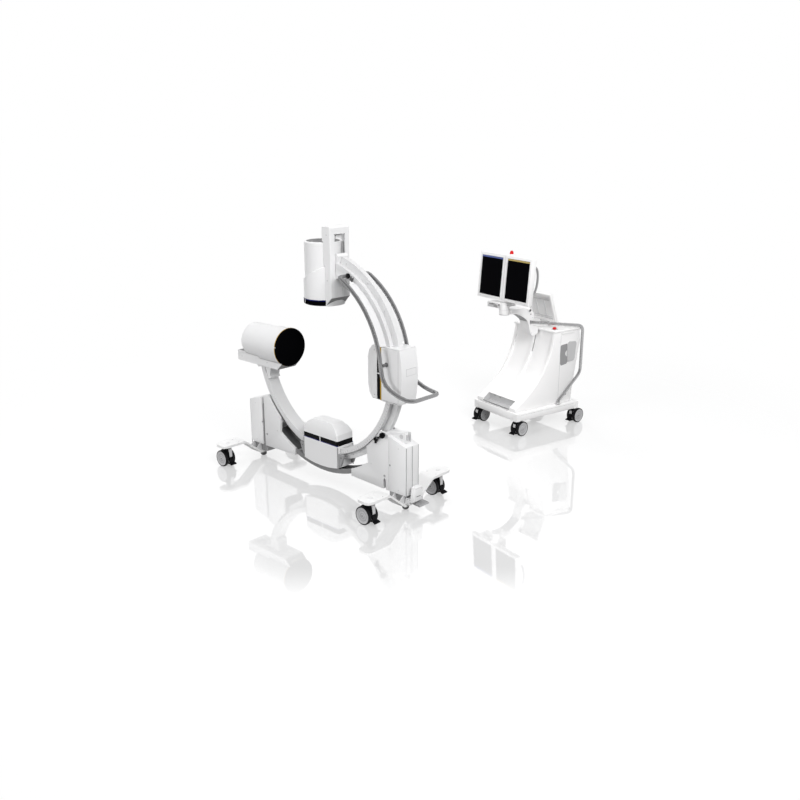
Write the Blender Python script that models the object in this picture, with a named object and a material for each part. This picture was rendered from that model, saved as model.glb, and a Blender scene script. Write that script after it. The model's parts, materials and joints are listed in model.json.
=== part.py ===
"""Surgical x-ray system: a biplanar G-arm stand on four casters and its monitor cart.

Metres, +Z up. The stand's ring lies in the XZ plane, +Y runs from the stand to the cart.
The origin is on the floor, under the middle of both units' common box.
"""

import bmesh
import bpy
from math import asin, atan2, cos, degrees, hypot, pi, radians, sin, sqrt
from mathutils import Matrix, Vector

# Where the two units stand on the floor
STAND_X = -0.0207
STAND_Y = -1.0694
CART_FROM_STAND_X = 0.188
CART_FROM_STAND_Y = 1.730
CART_TURN = -12.5

# Clearances
SEAT = 0.0004
RUN = 0.0008

# Ring
RING_Z = 0.922
RING_IN = 0.650
FLANGE_T = 0.038
WEB_T = 0.046
RING_HALF = 0.050
WEB_HALF = 0.018
RING_END = 74.6
RING_STEPS = 80

# Intensifiers, by distance from the ring centre along their own axis
II_FACE = 0.375
II_BAND = 0.040
II_BACK = 0.795
II_R = 0.138
II_R_BACK = 0.128
II_LIP = 0.002
II_STEP_MID = 0.583
II_STEP_TILT = 0.068
II_SIDES = 40

# Trays that carry the intensifiers
TRAY_HALF = 0.087
TRAY_WALL = 0.007
TRAY_BACK = 0.163
TRAY_TOP = 0.900
TRAY_NOSE = 0.378

# Tube housings, by distance from the ring centre
TUBE_HALF_LEN = 0.178
TUBE_HALF = 0.077
TUBE_PEAK = 0.462
TUBE_SHOULDER = 0.525
TUBE_BAND_IN = 0.570
TUBE_BAND_OUT = 0.608
TUBE_OUT = 0.788
BAND_DEPTH = 0.004
TUBE_CORNER = 0.007

# Handrail
RAIL_R = 0.0135
RAIL_ON = 0.660
RAIL_Y = 0.132
LOOP_X = 0.928
LOOP_Z = -0.112
LOOP_BEND = 0.050

# Columns, gussets and cradle
COLUMN_HALF = 0.062
COLUMN_OUT = 0.812
GUSSET_OUT = 0.656
GUSSET_OUT_LEFT = 0.642
COVER_IN_LEFT = 0.672
SKIRT_Z = 0.122
CRADLE_IN = 0.797
CRADLE_OUT = 0.832
TIP_X = 0.298
MAST_IN = 0.646
MAST_OUT = 0.794
MAST_HALF = 0.0455
MAST_TOP = 0.445
MAST_PLAY = 0.0008
CAP_FRONT = -0.030
CAP_BACK = 0.028
EYE_R = 0.010

# Legs
LEG_X = 0.753
LEG_LEN = 0.405
LEG_T = 0.018
LEG_LOW = 0.048
LEG_HIGH = 0.165
CASTER_Y = 0.331
FOOT_R = 0.023
FOOT_CLEAR = 0.0015

# Pedal box and pedal
BOX_IN = 0.838
BOX_OUT = 0.874
BOX_TOP = 0.194
PEDAL_X = 0.8456
PEDAL_Z = 0.070

# Casters
WHEEL_R = 0.0625
TRAIL = 0.034
TWIN_OUT = 0.0425
TWIN_IN = 0.0185
FORK_HALF = 0.0165
AXLE_R = 0.006
KNOB_R = 0.008
WHEEL_SIDES = 20

# Cart
BASE_HALF = 0.270
BASE_LEN = 0.706
BASE_Z = 0.130
BASE_TOP = 0.200
BODY_HALF = 0.245
BODY_TOP = 0.820
DECK_T = 0.018
CASTER_IN_SIDE = 0.028
CASTER_IN_FRONT = 0.030
CASTER_IN_REAR = 0.028
CART_HEADING = 97.0
DECK_HALF = 0.250
DECK_FRONT = 0.404
DECK_REAR = 0.728
POST_HALF = 0.042
HANDLE_R = 0.013
HANDLE_X = 0.266
HANDLE_REAR = 0.712
ARM_HALF = 0.052
ARM_REST_Y = 0.309
ARM_REST_Z = 0.893
HUB_Y = 0.064
HUB_R = 0.042
HUB_SPLIT = 1.022
HUB_TOP = 1.066
MONITOR_FRONT = 0.043
MONITOR_HALF = 0.313
MONITOR_LOW = 1.089
MONITOR_TALL = 0.374
MONITOR_T = 0.048
MONITOR_TILT = -4.5
SCREEN_RIM = 0.024
SCREEN_GAP = 0.054
SCREEN_TALL = 0.322
SCREEN_T = 0.006
SCREEN_IN = 0.003
KNUCKLE_R = 0.012
TILT_UP = 0.150
PANEL_HALF = 0.145
PANEL_TALL = 0.256
PANEL_T = 0.030
PANEL_TILT = 19.0
PANEL_Y = 0.530
PANEL_Z = 0.874
PANEL_KNUCKLE = 0.010
STOP_X = 0.189
STOP_Y = 0.459

for obj in list(bpy.data.objects):
    bpy.data.objects.remove(obj, do_unlink=True)

STAND = Matrix.Translation((STAND_X, STAND_Y, 0))
CART = (
    Matrix.Translation((STAND_X + CART_FROM_STAND_X, STAND_Y + CART_FROM_STAND_Y, 0))
    @ Matrix.Rotation(radians(CART_TURN), 4, "Z")
)


def material(name, colour, roughness, metallic=0.0):
    mat = bpy.data.materials.new(name)
    mat.use_nodes = True
    shader = mat.node_tree.nodes["Principled BSDF"]
    shader.inputs["Base Color"].default_value = (*colour, 1)
    shader.inputs["Roughness"].default_value = roughness
    shader.inputs["Metallic"].default_value = metallic
    mat.diffuse_color = (*colour, 1)
    return mat


WHITE = (0.78, 0.78, 0.77)
SHELL = (0.70, 0.70, 0.70)
GREY = (0.28, 0.28, 0.29)
DARK = (0.06, 0.06, 0.065)
BLACK = (0.012, 0.012, 0.014)


def finish(name, bm, colour, roughness, frame, origin=(0, 0, 0), metallic=0.0, helper=False):
    """One object from a bmesh drawn in its unit's frame, with its origin at the given point."""
    bmesh.ops.translate(bm, verts=bm.verts, vec=-Vector(origin))
    bmesh.ops.recalc_face_normals(bm, faces=bm.faces)
    mesh = bpy.data.meshes.new(name)
    bm.to_mesh(mesh)
    bm.free()
    obj = bpy.data.objects.new(name, mesh)
    bpy.context.scene.collection.objects.link(obj)
    obj.matrix_world = frame @ Matrix.Translation(origin)
    if helper:
        obj.hide_render = True
        obj.display_type = "WIRE"
        return obj
    mesh.materials.append(material(name + "_mat", colour, roughness, metallic))
    for face in mesh.polygons:
        face.use_smooth = True
    mesh.set_sharp_from_angle(angle=radians(32))
    return obj


def combine(obj, bm, frame, operation="DIFFERENCE"):
    """A Boolean with a helper drawn in the unit's frame."""
    number = len(obj.modifiers)
    helper = finish(f"{obj.name}_tool{number}", bm, None, 0, frame, helper=True)
    modifier = obj.modifiers.new(f"tool{number}", "BOOLEAN")
    modifier.operation = operation
    modifier.solver = "EXACT"
    modifier.object = helper


def soften(obj, width, segments=2, angle=40):
    modifier = obj.modifiers.new("edges", "BEVEL")
    modifier.width = width
    modifier.segments = segments
    modifier.limit_method = "ANGLE"
    modifier.angle_limit = radians(angle)
    modifier.harden_normals = False


def loft(loops, close_ends=True, ring=False):
    """Skin between loops of equal length. With ring, the last loop joins the first."""
    bm = bmesh.new()
    rows = [[bm.verts.new(p) for p in loop] for loop in loops]
    count = len(rows[0])
    pairs = list(zip(rows, rows[1:]))
    if ring:
        pairs.append((rows[-1], rows[0]))
    for a, b in pairs:
        for i in range(count):
            j = (i + 1) % count
            bm.faces.new((a[i], a[j], b[j], b[i]))
    if close_ends and not ring:
        bm.faces.new(rows[0])
        bm.faces.new(rows[-1])
    return bm


def prism(outline, lo, hi, plane="XZ"):
    """The outline drawn in a plane, carried from lo to hi along the third axis."""
    place = {
        "XZ": lambda u, v, w: (u, w, v),
        "YZ": lambda u, v, w: (w, u, v),
        "XY": lambda u, v, w: (u, v, w),
    }[plane]
    return loft([[place(u, v, w) for u, v in outline] for w in (lo, hi)])


def box(x0, x1, y0, y1, z0, z1):
    return prism([(x0, z0), (x1, z0), (x1, z1), (x0, z1)], y0, y1)


def lathe(profile, sides, place, on_flat=False):
    """A profile of (along, radius) turned about its axis, closed at both ends on the axis.

    With on_flat, each radius is that of the flats, and one flat faces each quarter turn.
    """
    shift = 0.5 if on_flat else 0.0
    grow = 1 / cos(pi / sides) if on_flat else 1.0
    bm = bmesh.new()
    ends = (bm.verts.new(place(profile[0][0], 0, 0)), bm.verts.new(place(profile[-1][0], 0, 0)))
    rows = []
    for along, radius in profile[1:-1]:
        angles = [2 * pi * (k + shift) / sides for k in range(sides)]
        r = radius * grow
        rows.append([bm.verts.new(place(along, r * cos(a), r * sin(a))) for a in angles])
    for k in range(sides):
        j = (k + 1) % sides
        bm.faces.new((ends[0], rows[0][k], rows[0][j]))
        bm.faces.new((ends[1], rows[-1][j], rows[-1][k]))
        for a, b in zip(rows, rows[1:]):
            bm.faces.new((a[k], a[j], b[j], b[k]))
    return bm


def tube(path, radius, sides=12):
    """A round bar along a path of points."""
    points = [Vector(p) for p in path]
    normal = None
    loops = []
    for i, p in enumerate(points):
        before = (p - points[i - 1]).normalized() if i else None
        after = (points[i + 1] - p).normalized() if i + 1 < len(points) else None
        along = ((before or after) + (after or before)).normalized()
        if normal is None:
            normal = along.orthogonal().normalized()
        normal = (normal - along * normal.dot(along)).normalized()
        side = along.cross(normal)
        spread = 1.0
        if before and after:
            spread = 1.0 / max(0.5, before.dot(along))
        turn = (after - before) if before and after else Vector((0, 0, 0))
        bend = turn.normalized() if turn.length > 1e-6 else None
        loop = []
        for k in range(sides):
            a = 2 * pi * k / sides
            d = normal * cos(a) + side * sin(a)
            if bend:
                d = d + bend * d.dot(bend) * (spread - 1)
            loop.append(p + d * radius)
        loops.append(loop)
    return loft(loops)


def rounded(path, reach, steps=4):
    """The path with each inner corner turned into an arc that starts the reach away from it."""
    points = [Vector(p) for p in path]
    out = [points[0]]
    for a, b, c in zip(points, points[1:], points[2:]):
        near = min(reach, (b - a).length * 0.49, (c - b).length * 0.49)
        start = b + (a - b).normalized() * near
        end = b + (c - b).normalized() * near
        for k in range(steps + 1):
            t = k / steps
            out.append(start * (1 - t) ** 2 + b * (2 * t * (1 - t)) + end * t**2)
    out.append(points[-1])
    return out


def frame_loop(half_u, half_v, depth, corner, lo, hi, place):
    """A strip that goes once round a box with cut corners."""

    def ring_of(hu, hv):
        c = corner
        return [
            (hu, -hv + c), (hu, hv - c), (hu - c, hv), (-hu + c, hv),
            (-hu, hv - c), (-hu, -hv + c), (-hu + c, -hv), (hu - c, -hv),
        ]

    outer = ring_of(half_u, half_v)
    inner = ring_of(half_u - depth, half_v - depth)
    loops = []
    for (ou, ov), (iu, iv) in zip(outer, inner):
        loops.append([place(ou, ov, lo), place(ou, ov, hi), place(iu, iv, hi), place(iu, iv, lo)])
    return loft(loops, ring=True)


def polar(radius, angle):
    """A point of the ring plane, by radius and degrees from +X."""
    return radius * cos(radians(angle)), RING_Z + radius * sin(radians(angle))


RING_START = RING_END - 0.0
RING_SWEEP = 2 * RING_END + 90.0
RING_ANGLES = [RING_START - RING_SWEEP * k / RING_STEPS for k in range(RING_STEPS + 1)]
FLANGE_OUT = RING_IN + FLANGE_T
RING_OUT = FLANGE_OUT + WEB_T


def ring_body(grow, angles):
    """The ring's stepped section, grown by a clearance, over the given angles."""
    y1, y2 = RING_HALF + grow, WEB_HALF + grow
    r0, r1, r2 = RING_IN - grow, FLANGE_OUT + grow, RING_OUT + grow
    section = [(r0, -y1), (r1, -y1), (r1, -y2), (r2, -y2), (r2, y2), (r1, y2), (r1, y1), (r0, y1)]
    loops = []
    for angle in angles:
        loops.append([(polar(r, angle)[0], y, polar(r, angle)[1]) for r, y in section])
    return loft(loops)


def near_angles(middle, reach):
    return [a for a in RING_ANGLES if abs(a - middle) <= reach]


finish("ring", ring_body(0, RING_ANGLES), SHELL, 0.45, STAND, origin=(0, 0, RING_Z))


# Tube housings. The second is the first mirrored in the diagonal through the ring centre.
def at_bottom(t, y, d):
    return (t, y, RING_Z - d)


def at_right(t, y, d):
    return (d, y, RING_Z + t)


def tube_housing(name, place, middle):
    steps = 10
    c = TUBE_CORNER

    def loop_at(length, half, d):
        shares = [-1 + 2 * k / steps for k in range(steps + 1)]
        flat = [s * (length - c) for s in shares]
        spots = [(t, -half) for t in flat] + [(length, -half + c), (length, half - c)]
        spots += [(t, half) for t in reversed(flat)] + [(-length, half - c), (-length, -half + c)]
        return [place(t, y, d if d else sqrt(TUBE_OUT**2 - t * t)) for t, y in spots]

    full, cut = TUBE_HALF_LEN, TUBE_HALF_LEN - BAND_DEPTH
    wide, thin = TUBE_HALF, TUBE_HALF - BAND_DEPTH
    loops = [
        loop_at(0.096, 0.050, TUBE_PEAK),
        loop_at(0.150, 0.067, TUBE_PEAK + 0.030),
        loop_at(full, wide, TUBE_SHOULDER),
        loop_at(full, wide, TUBE_BAND_IN),
        loop_at(cut, thin, TUBE_BAND_IN),
        loop_at(cut, thin, TUBE_BAND_OUT),
        loop_at(full, wide, TUBE_BAND_OUT),
        loop_at(full, wide, None),
    ]
    bm = bmesh.new()
    rows = [[bm.verts.new(p) for p in loop] for loop in loops]
    count = len(rows[0])
    for a, b in zip(rows, rows[1:]):
        for i in range(count):
            j = (i + 1) % count
            bm.faces.new((a[i], a[j], b[j], b[i]))
    bm.faces.new(rows[0])
    last = rows[-1]
    near, far = last[: steps + 1], list(reversed(last[steps + 3 : 2 * steps + 4]))
    for k in range(steps):
        bm.faces.new((near[k], near[k + 1], far[k + 1], far[k]))
    bm.faces.new((near[-1], last[steps + 1], last[steps + 2], far[-1]))
    bm.faces.new((near[0], last[-1], last[-2], far[0]))
    obj = finish(name, bm, WHITE, 0.4, STAND, origin=(0, 0, RING_Z))
    combine(obj, ring_body(SEAT, near_angles(middle, 24)), STAND)
    strip = frame_loop(
        TUBE_HALF_LEN, TUBE_HALF, BAND_DEPTH - SEAT, TUBE_CORNER,
        TUBE_BAND_IN + SEAT, TUBE_BAND_OUT - SEAT, place,
    )
    finish(name.replace("housing", "band"), strip, BLACK, 0.3, STAND, origin=(0, 0, RING_Z))


tube_housing("lower_tube_housing", at_bottom, -90)
tube_housing("right_tube_housing", at_right, 0)


# Image intensifiers, drawn by height h from their axis and distance d from the ring centre
def at_top(h, y, d):
    return (h, y, RING_Z + d)


def at_left(h, y, d):
    return (-d, y, RING_Z - h)


def intensifier_loops(grow, place, whole=False):
    loops = []

    def loop_at(radius, d, tilt=0.0):
        loop = []
        for k in range(II_SIDES):
            a = 2 * pi * k / II_SIDES
            loop.append(place(radius * cos(a), radius * sin(a), d + tilt * cos(a)))
        loops.append(loop)

    first = II_FACE + II_BAND if not whole else II_FACE - 0.02
    loop_at(II_R + grow, first)
    loop_at(II_R + grow, II_STEP_MID, II_STEP_TILT)
    loop_at(II_R_BACK + grow, II_STEP_MID + 0.002 + grow, II_STEP_TILT)
    if whole:
        loop_at(II_R_BACK + grow, II_BACK + 0.001)
    else:
        loop_at(II_R_BACK, II_BACK - 0.006)
        loop_at(II_R_BACK - 0.006, II_BACK)
    return loops


def intensifier(name, place):
    body = loft(intensifier_loops(0, place))
    finish(name + "_intensifier", body, WHITE, 0.4, STAND, origin=(0, 0, RING_Z))
    lip = II_R + II_LIP
    face = [
        (II_FACE, 0), (II_FACE, lip - 0.012), (II_FACE + 0.004, lip - 0.003),
        (II_FACE + 0.008, lip), (II_FACE + II_BAND - SEAT, lip), (II_FACE + II_BAND - SEAT, 0),
    ]
    bm = lathe(face, II_SIDES, lambda d, h, y: place(h, y, d))
    finish(name + "_intensifier_face", bm, BLACK, 0.25, STAND, origin=(0, 0, RING_Z))
    outline = [
        (0.108, TRAY_NOSE), (TRAY_BACK, 0.434), (TRAY_BACK, TRAY_TOP - 0.010),
        (TRAY_BACK - 0.010, TRAY_TOP), (0.092, TRAY_TOP), (0.085, TRAY_TOP - 0.008),
        (0.085, 0.804), (0.096, 0.800), (0.096, 0.650), (0.108, 0.640),
    ]
    pulled = [(min(h, TRAY_BACK - 0.004), min(d, TRAY_TOP - 0.004)) for h, d in outline]
    flat = TRAY_HALF - 0.004
    spots = ((-TRAY_HALF, pulled), (-flat, outline), (flat, outline), (TRAY_HALF, pulled))
    bm = loft([[place(h, y, d) for h, d in section] for y, section in spots])
    tray = finish(name + "_tray", bm, WHITE, 0.4, STAND, origin=(0, 0, RING_Z))
    # The foot of the tray closes the wedge between its back and the ring's end.
    end = RING_END + degrees(SEAT / RING_IN)
    under = RING_IN * cos(radians(RING_SWEEP / RING_STEPS / 2)) - SEAT
    wedge = [(TRAY_BACK - 0.003, 0.560), (TRAY_BACK - 0.003, 0.738)]
    wedge += [(RING_OUT * cos(radians(end)), RING_OUT * sin(radians(end)))]
    wedge += [(under * cos(radians(a)), under * sin(radians(a))) for a in (end, 71.6, 68.6, 66.0)]
    wedge += [(0.622 * cos(radians(a)), 0.622 * sin(radians(a))) for a in (65.6, 67.5)]
    bm = loft([[place(h, y, d) for h, d in wedge] for y in (-0.045, 0.045)])
    combine(tray, bm, STAND, "UNION")
    inner = [
        (0.02, TRAY_NOSE - 0.02), (0.101, TRAY_NOSE + 0.003), (TRAY_BACK - TRAY_WALL, 0.438),
        (TRAY_BACK - TRAY_WALL, TRAY_TOP - TRAY_WALL), (0.02, TRAY_TOP - TRAY_WALL),
    ]
    half = TRAY_HALF - TRAY_WALL
    combine(tray, loft([[place(h, y, d) for h, d in inner] for y in (-half, half)]), STAND)
    combine(tray, loft(intensifier_loops(II_LIP + SEAT, place, True)), STAND)
    for y, low, high in ((0.047, 0.724, 0.850), (0.020, 0.445, 0.500)):
        corners = [(TRAY_BACK - 0.02, low), (TRAY_BACK + 0.02, low)]
        corners += [(TRAY_BACK + 0.02, high), (TRAY_BACK - 0.02, high)]
        combine(tray, loft([[place(h, w, d) for h, d in corners] for w in (-y, y)]), STAND)


intensifier("top", at_top)
intensifier("left", at_left)


# Handrail: down the front, round the outside of the right housing, up the back
def rail_side(sign):
    y = sign * RAIL_Y
    start = [(RAIL_ON * cos(radians(64.0)), sign * (RING_HALF + SEAT), RAIL_ON * sin(radians(64.0)))]
    arc = [(RAIL_ON * cos(radians(a)), y, RAIL_ON * sin(radians(a))) for a in range(62, 3, -5)]
    start += [(RAIL_ON * cos(radians(64.0)), sign * (RAIL_Y - 0.022), RAIL_ON * sin(radians(64.0)))]
    start += [(RAIL_ON * cos(radians(63.6)), sign * (RAIL_Y - 0.006), RAIL_ON * sin(radians(63.6)))]
    low = [(0.663, y, 0.030), (0.676, y, -0.012), (0.700, y, -0.048), (0.738, y, -0.074)]
    low += [(0.790, y, -0.094), (0.835, y, -0.105), (0.862, y, -0.109)]
    for k in range(6):
        turn = pi / 2 * k / 5
        low.append((LOOP_X - LOOP_BEND * (1 - sin(turn)), sign * (RAIL_Y - LOOP_BEND * (1 - cos(turn))), LOOP_Z))
    return [(x, yy, RING_Z + z) for x, yy, z in start + arc + low]


rail_path = rail_side(-1) + list(reversed(rail_side(1)))
rail = finish("handrail", tube(rail_path, RAIL_R, 10), GREY, 0.35, STAND, origin=(0, 0, RING_Z), metallic=0.6)
peg_x, peg_z = polar(RAIL_ON, 6.0)
for sign in (-1, 1):
    peg = [(TUBE_HALF + SEAT, 0), (TUBE_HALF + SEAT, 0.007), (RAIL_Y, 0.007), (RAIL_Y, 0)]
    combine(rail, lathe(peg, 10, lambda y, a, b: (peg_x + a, sign * y, peg_z + b)), STAND, "UNION")


# Columns: each side is drawn for +X and mirrored by its sign
def mirrored(outline, side):
    return [(side * x, z) for x, z in outline]


def arc(radius, first, last, steps):
    out = []
    for k in range(steps + 1):
        out.append(polar(radius, first + (last - first) * k / steps))
    return out


def top_line(x):
    """Height of the sloping top of gusset and cover."""
    return 0.529 - (x - 0.594) * 0.310


def column(side, name, gusset_out, cover_in):
    plate_in = 0.700
    first = degrees(atan2(top_line(0.580) - RING_Z, 0.580))
    gusset = [(TIP_X, SKIRT_Z + 0.010), (gusset_out, SKIRT_Z), (gusset_out, top_line(gusset_out))]
    gusset += arc(plate_in, first, -50.0, 8)
    gusset += arc(CRADLE_IN, -54.6, -68.0, 6)
    shelf = sqrt(CRADLE_IN**2 - TIP_X**2)
    gusset += [(TIP_X, RING_Z - shelf)]
    obj = finish(
        name + "_gusset", prism(mirrored(gusset, side), -COLUMN_HALF, COLUMN_HALF), SHELL, 0.5, STAND
    )
    soften(obj, 0.0025, 2)
    slot = arc(0.600, -18.0, -75.0, 12) + arc(RING_OUT + RUN, -75.0, -18.0, 20)
    half = RING_HALF + RUN
    combine(obj, prism(mirrored(slot, side), -half, half), STAND)
    trough = arc(0.735, -51.0, -76.0, 8) + arc(CRADLE_OUT - 0.008, -76.0, -51.0, 10)
    combine(obj, prism(mirrored(trough, side), -0.044, 0.044), STAND)
    pocket_in, pocket_out = MAST_IN - MAST_PLAY, MAST_OUT + MAST_PLAY
    deep = MAST_HALF + MAST_PLAY
    x0, x1 = sorted((side * pocket_in, side * pocket_out))
    combine(obj, box(x0, x1, -deep, deep, 0.05, MAST_TOP + SEAT), STAND)
    notch = [(0.606, 0.05), (0.630, 0.05), (0.630, 0.186), (0.626, 0.196), (0.618, 0.200)]
    notch += [(0.610, 0.196), (0.606, 0.186)]
    if side > 0:
        combine(obj, prism(mirrored(notch, side), -0.08, 0.08), STAND)
    if gusset_out < cover_in - 0.01:
        # The open seam shows the mast; behind the mast the gusset reaches the cover.
        tongue = [(gusset_out - 0.02, SKIRT_Z), (cover_in - SEAT, SKIRT_Z)]
        tongue += [(cover_in - SEAT, top_line(cover_in)), (gusset_out - 0.02, top_line(gusset_out - 0.02))]
        combine(obj, prism(mirrored(tongue, side), deep + 0.001, COLUMN_HALF), STAND, "UNION")
    cover = [(cover_in, SKIRT_Z), (COLUMN_OUT, SKIRT_Z), (COLUMN_OUT, top_line(COLUMN_OUT))]
    cover += [(cover_in, top_line(cover_in))]
    obj = finish(
        name + "_cover", prism(mirrored(cover, side), -COLUMN_HALF, COLUMN_HALF), WHITE, 0.45, STAND
    )
    soften(obj, 0.004, 2)
    combine(obj, box(x0, x1, -deep, deep, 0.05, MAST_TOP + SEAT), STAND)
    s0, s1 = sorted((side * (COLUMN_OUT - 0.003), side * (COLUMN_OUT + 0.01)))
    combine(obj, box(s0, s1, -0.014, -0.011, 0.05, 0.60), STAND)
    m0, m1 = sorted((side * MAST_IN, side * MAST_OUT))
    mast = finish(
        name + "_mast",
        box(m0, m1, -MAST_HALF, MAST_HALF, LEG_LOW + LEG_T + SEAT, MAST_TOP),
        GREY, 0.4, STAND, metallic=0.3,
    )
    soften(mast, 0.004, 1)
    stations = [
        (0.405, 0.030, 1), (0.398, 0.046, 1), (0.380, 0.057, 1), (0.350, 0.060, 1), (0.222, 0.060, 1),
        (0.206, 0.060, 0.96), (0.190, 0.060, 0.86), (0.084, 0.058, 0.12), (0.072, 0.058, 0.03),
        (0.060, 0.058, 0),
    ]
    loops = []
    for sign in (-1, 1):
        for y, half, rise in stations if sign < 0 else reversed(stations):
            z = LEG_LOW + (LEG_HIGH - LEG_LOW) * rise
            x = side * LEG_X
            loops.append([
                (x - half, sign * y, z), (x + half, sign * y, z),
                (x + half, sign * y, z + LEG_T), (x - half, sign * y, z + LEG_T),
            ])
    leg = finish(name + "_leg", loft(loops), WHITE, 0.4, STAND)
    foot = [(0.0, 0), (0.0, 0.012), (0.006, 0.020), (0.012, FOOT_R), (0.024, FOOT_R), (0.031, 0.018)]
    foot += [(0.034, 0.0135), (0.037, 0.018), (0.050, 0.019), (0.050, 0)]
    foot = [(FOOT_CLEAR + z, r) for z, r in foot]
    combine(leg, lathe(foot, 20, lambda z, a, b: (side * LEG_X + a, b, z)), STAND, "UNION")


column(-1, "left", GUSSET_OUT_LEFT, COVER_IN_LEFT)
column(1, "right", GUSSET_OUT, GUSSET_OUT + SEAT)

# Cradle between the gusset tips
rim = []
for k in range(13):
    x = -TIP_X + SEAT + (TIP_X - SEAT) * 2 * k / 12
    rim.append(x)
cradle = [(x, RING_Z - sqrt(CRADLE_OUT**2 - x * x)) for x in rim]
cradle += [(x, RING_Z - sqrt(CRADLE_IN**2 - x * x)) for x in reversed(rim)]
cradle_obj = finish("cradle", prism(cradle, -0.050, 0.050), DARK, 0.5, STAND)
trough = arc(0.780, -114, -66, 16) + arc(CRADLE_OUT - 0.008, -66, -114, 16)
combine(cradle_obj, prism(trough, -0.044, 0.044), STAND)

# Guide roller cap on the right column, and the brake lever in front of it
x0, x1 = 0.6475, 0.778
lift = SEAT + 0.0002
cap = [(x0, top_line(x0) + lift), (x1, top_line(x1) + lift), (x1, 0.545), (x0, 0.527)]
cap_obj = finish("guide_cap", prism(cap, CAP_FRONT, CAP_BACK), WHITE, 0.4, STAND)
soften(cap_obj, 0.002, 2)
combine(cap_obj, box(0.752, x1 + 0.02, CAP_FRONT + 0.012, CAP_BACK - 0.008, 0.40, 0.60), STAND)
eye = [(CAP_FRONT - 0.01, 0), (CAP_FRONT - 0.01, EYE_R), (CAP_FRONT + 0.03, EYE_R), (CAP_FRONT + 0.03, 0)]
combine(cap_obj, lathe(eye, 20, lambda y, a, b: (0.742 + a, y, 0.515 + b)), STAND)
LEVER_X, LEVER_Z = 0.545, 0.462
LEVER_Y = -COLUMN_HALF
hub = [(LEVER_Y - SEAT, 0), (LEVER_Y - SEAT, 0.014), (LEVER_Y - 0.014, 0.014)]
hub += [(LEVER_Y - 0.016, 0.012), (LEVER_Y - 0.016, 0)]
bm = lathe(hub, 16, lambda y, a, b: (LEVER_X + a, y, LEVER_Z + b))
lever = finish("brake_lever", bm, BLACK, 0.35, STAND, origin=(LEVER_X, LEVER_Y, LEVER_Z))
rod = [(LEVER_X, LEVER_Y - 0.009, LEVER_Z), (LEVER_X + 0.074, LEVER_Y - 0.024, LEVER_Z + 0.046)]
combine(lever, tube(rod, 0.0055, 10), STAND, "UNION")
ball = [(-0.021, 0), (-0.0195, 0.008), (-0.0148, 0.0148), (-0.008, 0.0195), (0, 0.021)]
ball += [(-a, r) for a, r in reversed(ball[:-1])]
bm = lathe(ball, 16, lambda y, a, b: (LEVER_X + 0.078 + a, LEVER_Y - 0.025 + y, LEVER_Z + 0.048 + b))
combine(lever, bm, STAND, "UNION")

# Pedal box and its pedal at the foot of the right column
leg_top = LEG_LOW + LEG_T
outline = [(MAST_OUT + SEAT, leg_top + SEAT), (BOX_IN, leg_top + SEAT), (BOX_IN, 0.080), (0.872, 0.095)]
outline += [(BOX_OUT, 0.100), (BOX_OUT, BOX_TOP), (BOX_IN, BOX_TOP), (BOX_IN, 0.104)]
outline += [(MAST_OUT + SEAT, 0.104)]


def flared(sign, x, z):
    """A point of the pedal box's side, which leans in towards the top."""
    return (x, -0.004 + sign * (0.053 - (z - leg_top) * 0.16), z)


sides = [[flared(sign, x, z) for x, z in outline] for sign in (-1, 1)]
pedal_box = finish("pedal_box", loft(sides), WHITE, 0.4, STAND)
soften(pedal_box, 0.003, 2)
knuckle = PEDAL_X - BOX_IN - SEAT
root = [(PEDAL_X + knuckle * cos(a), PEDAL_Z + knuckle * sin(a)) for a in (pi * k / 8 for k in range(4, 13))]
outline = root + [(0.896, 0.060), (0.902, 0.064), (0.898, 0.071)]
pedal = finish("foot_pedal", prism(outline, -0.022, 0.070), GREY, 0.5, STAND, origin=(PEDAL_X, 0, PEDAL_Z))
soften(pedal, 0.0015, 1)


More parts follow.
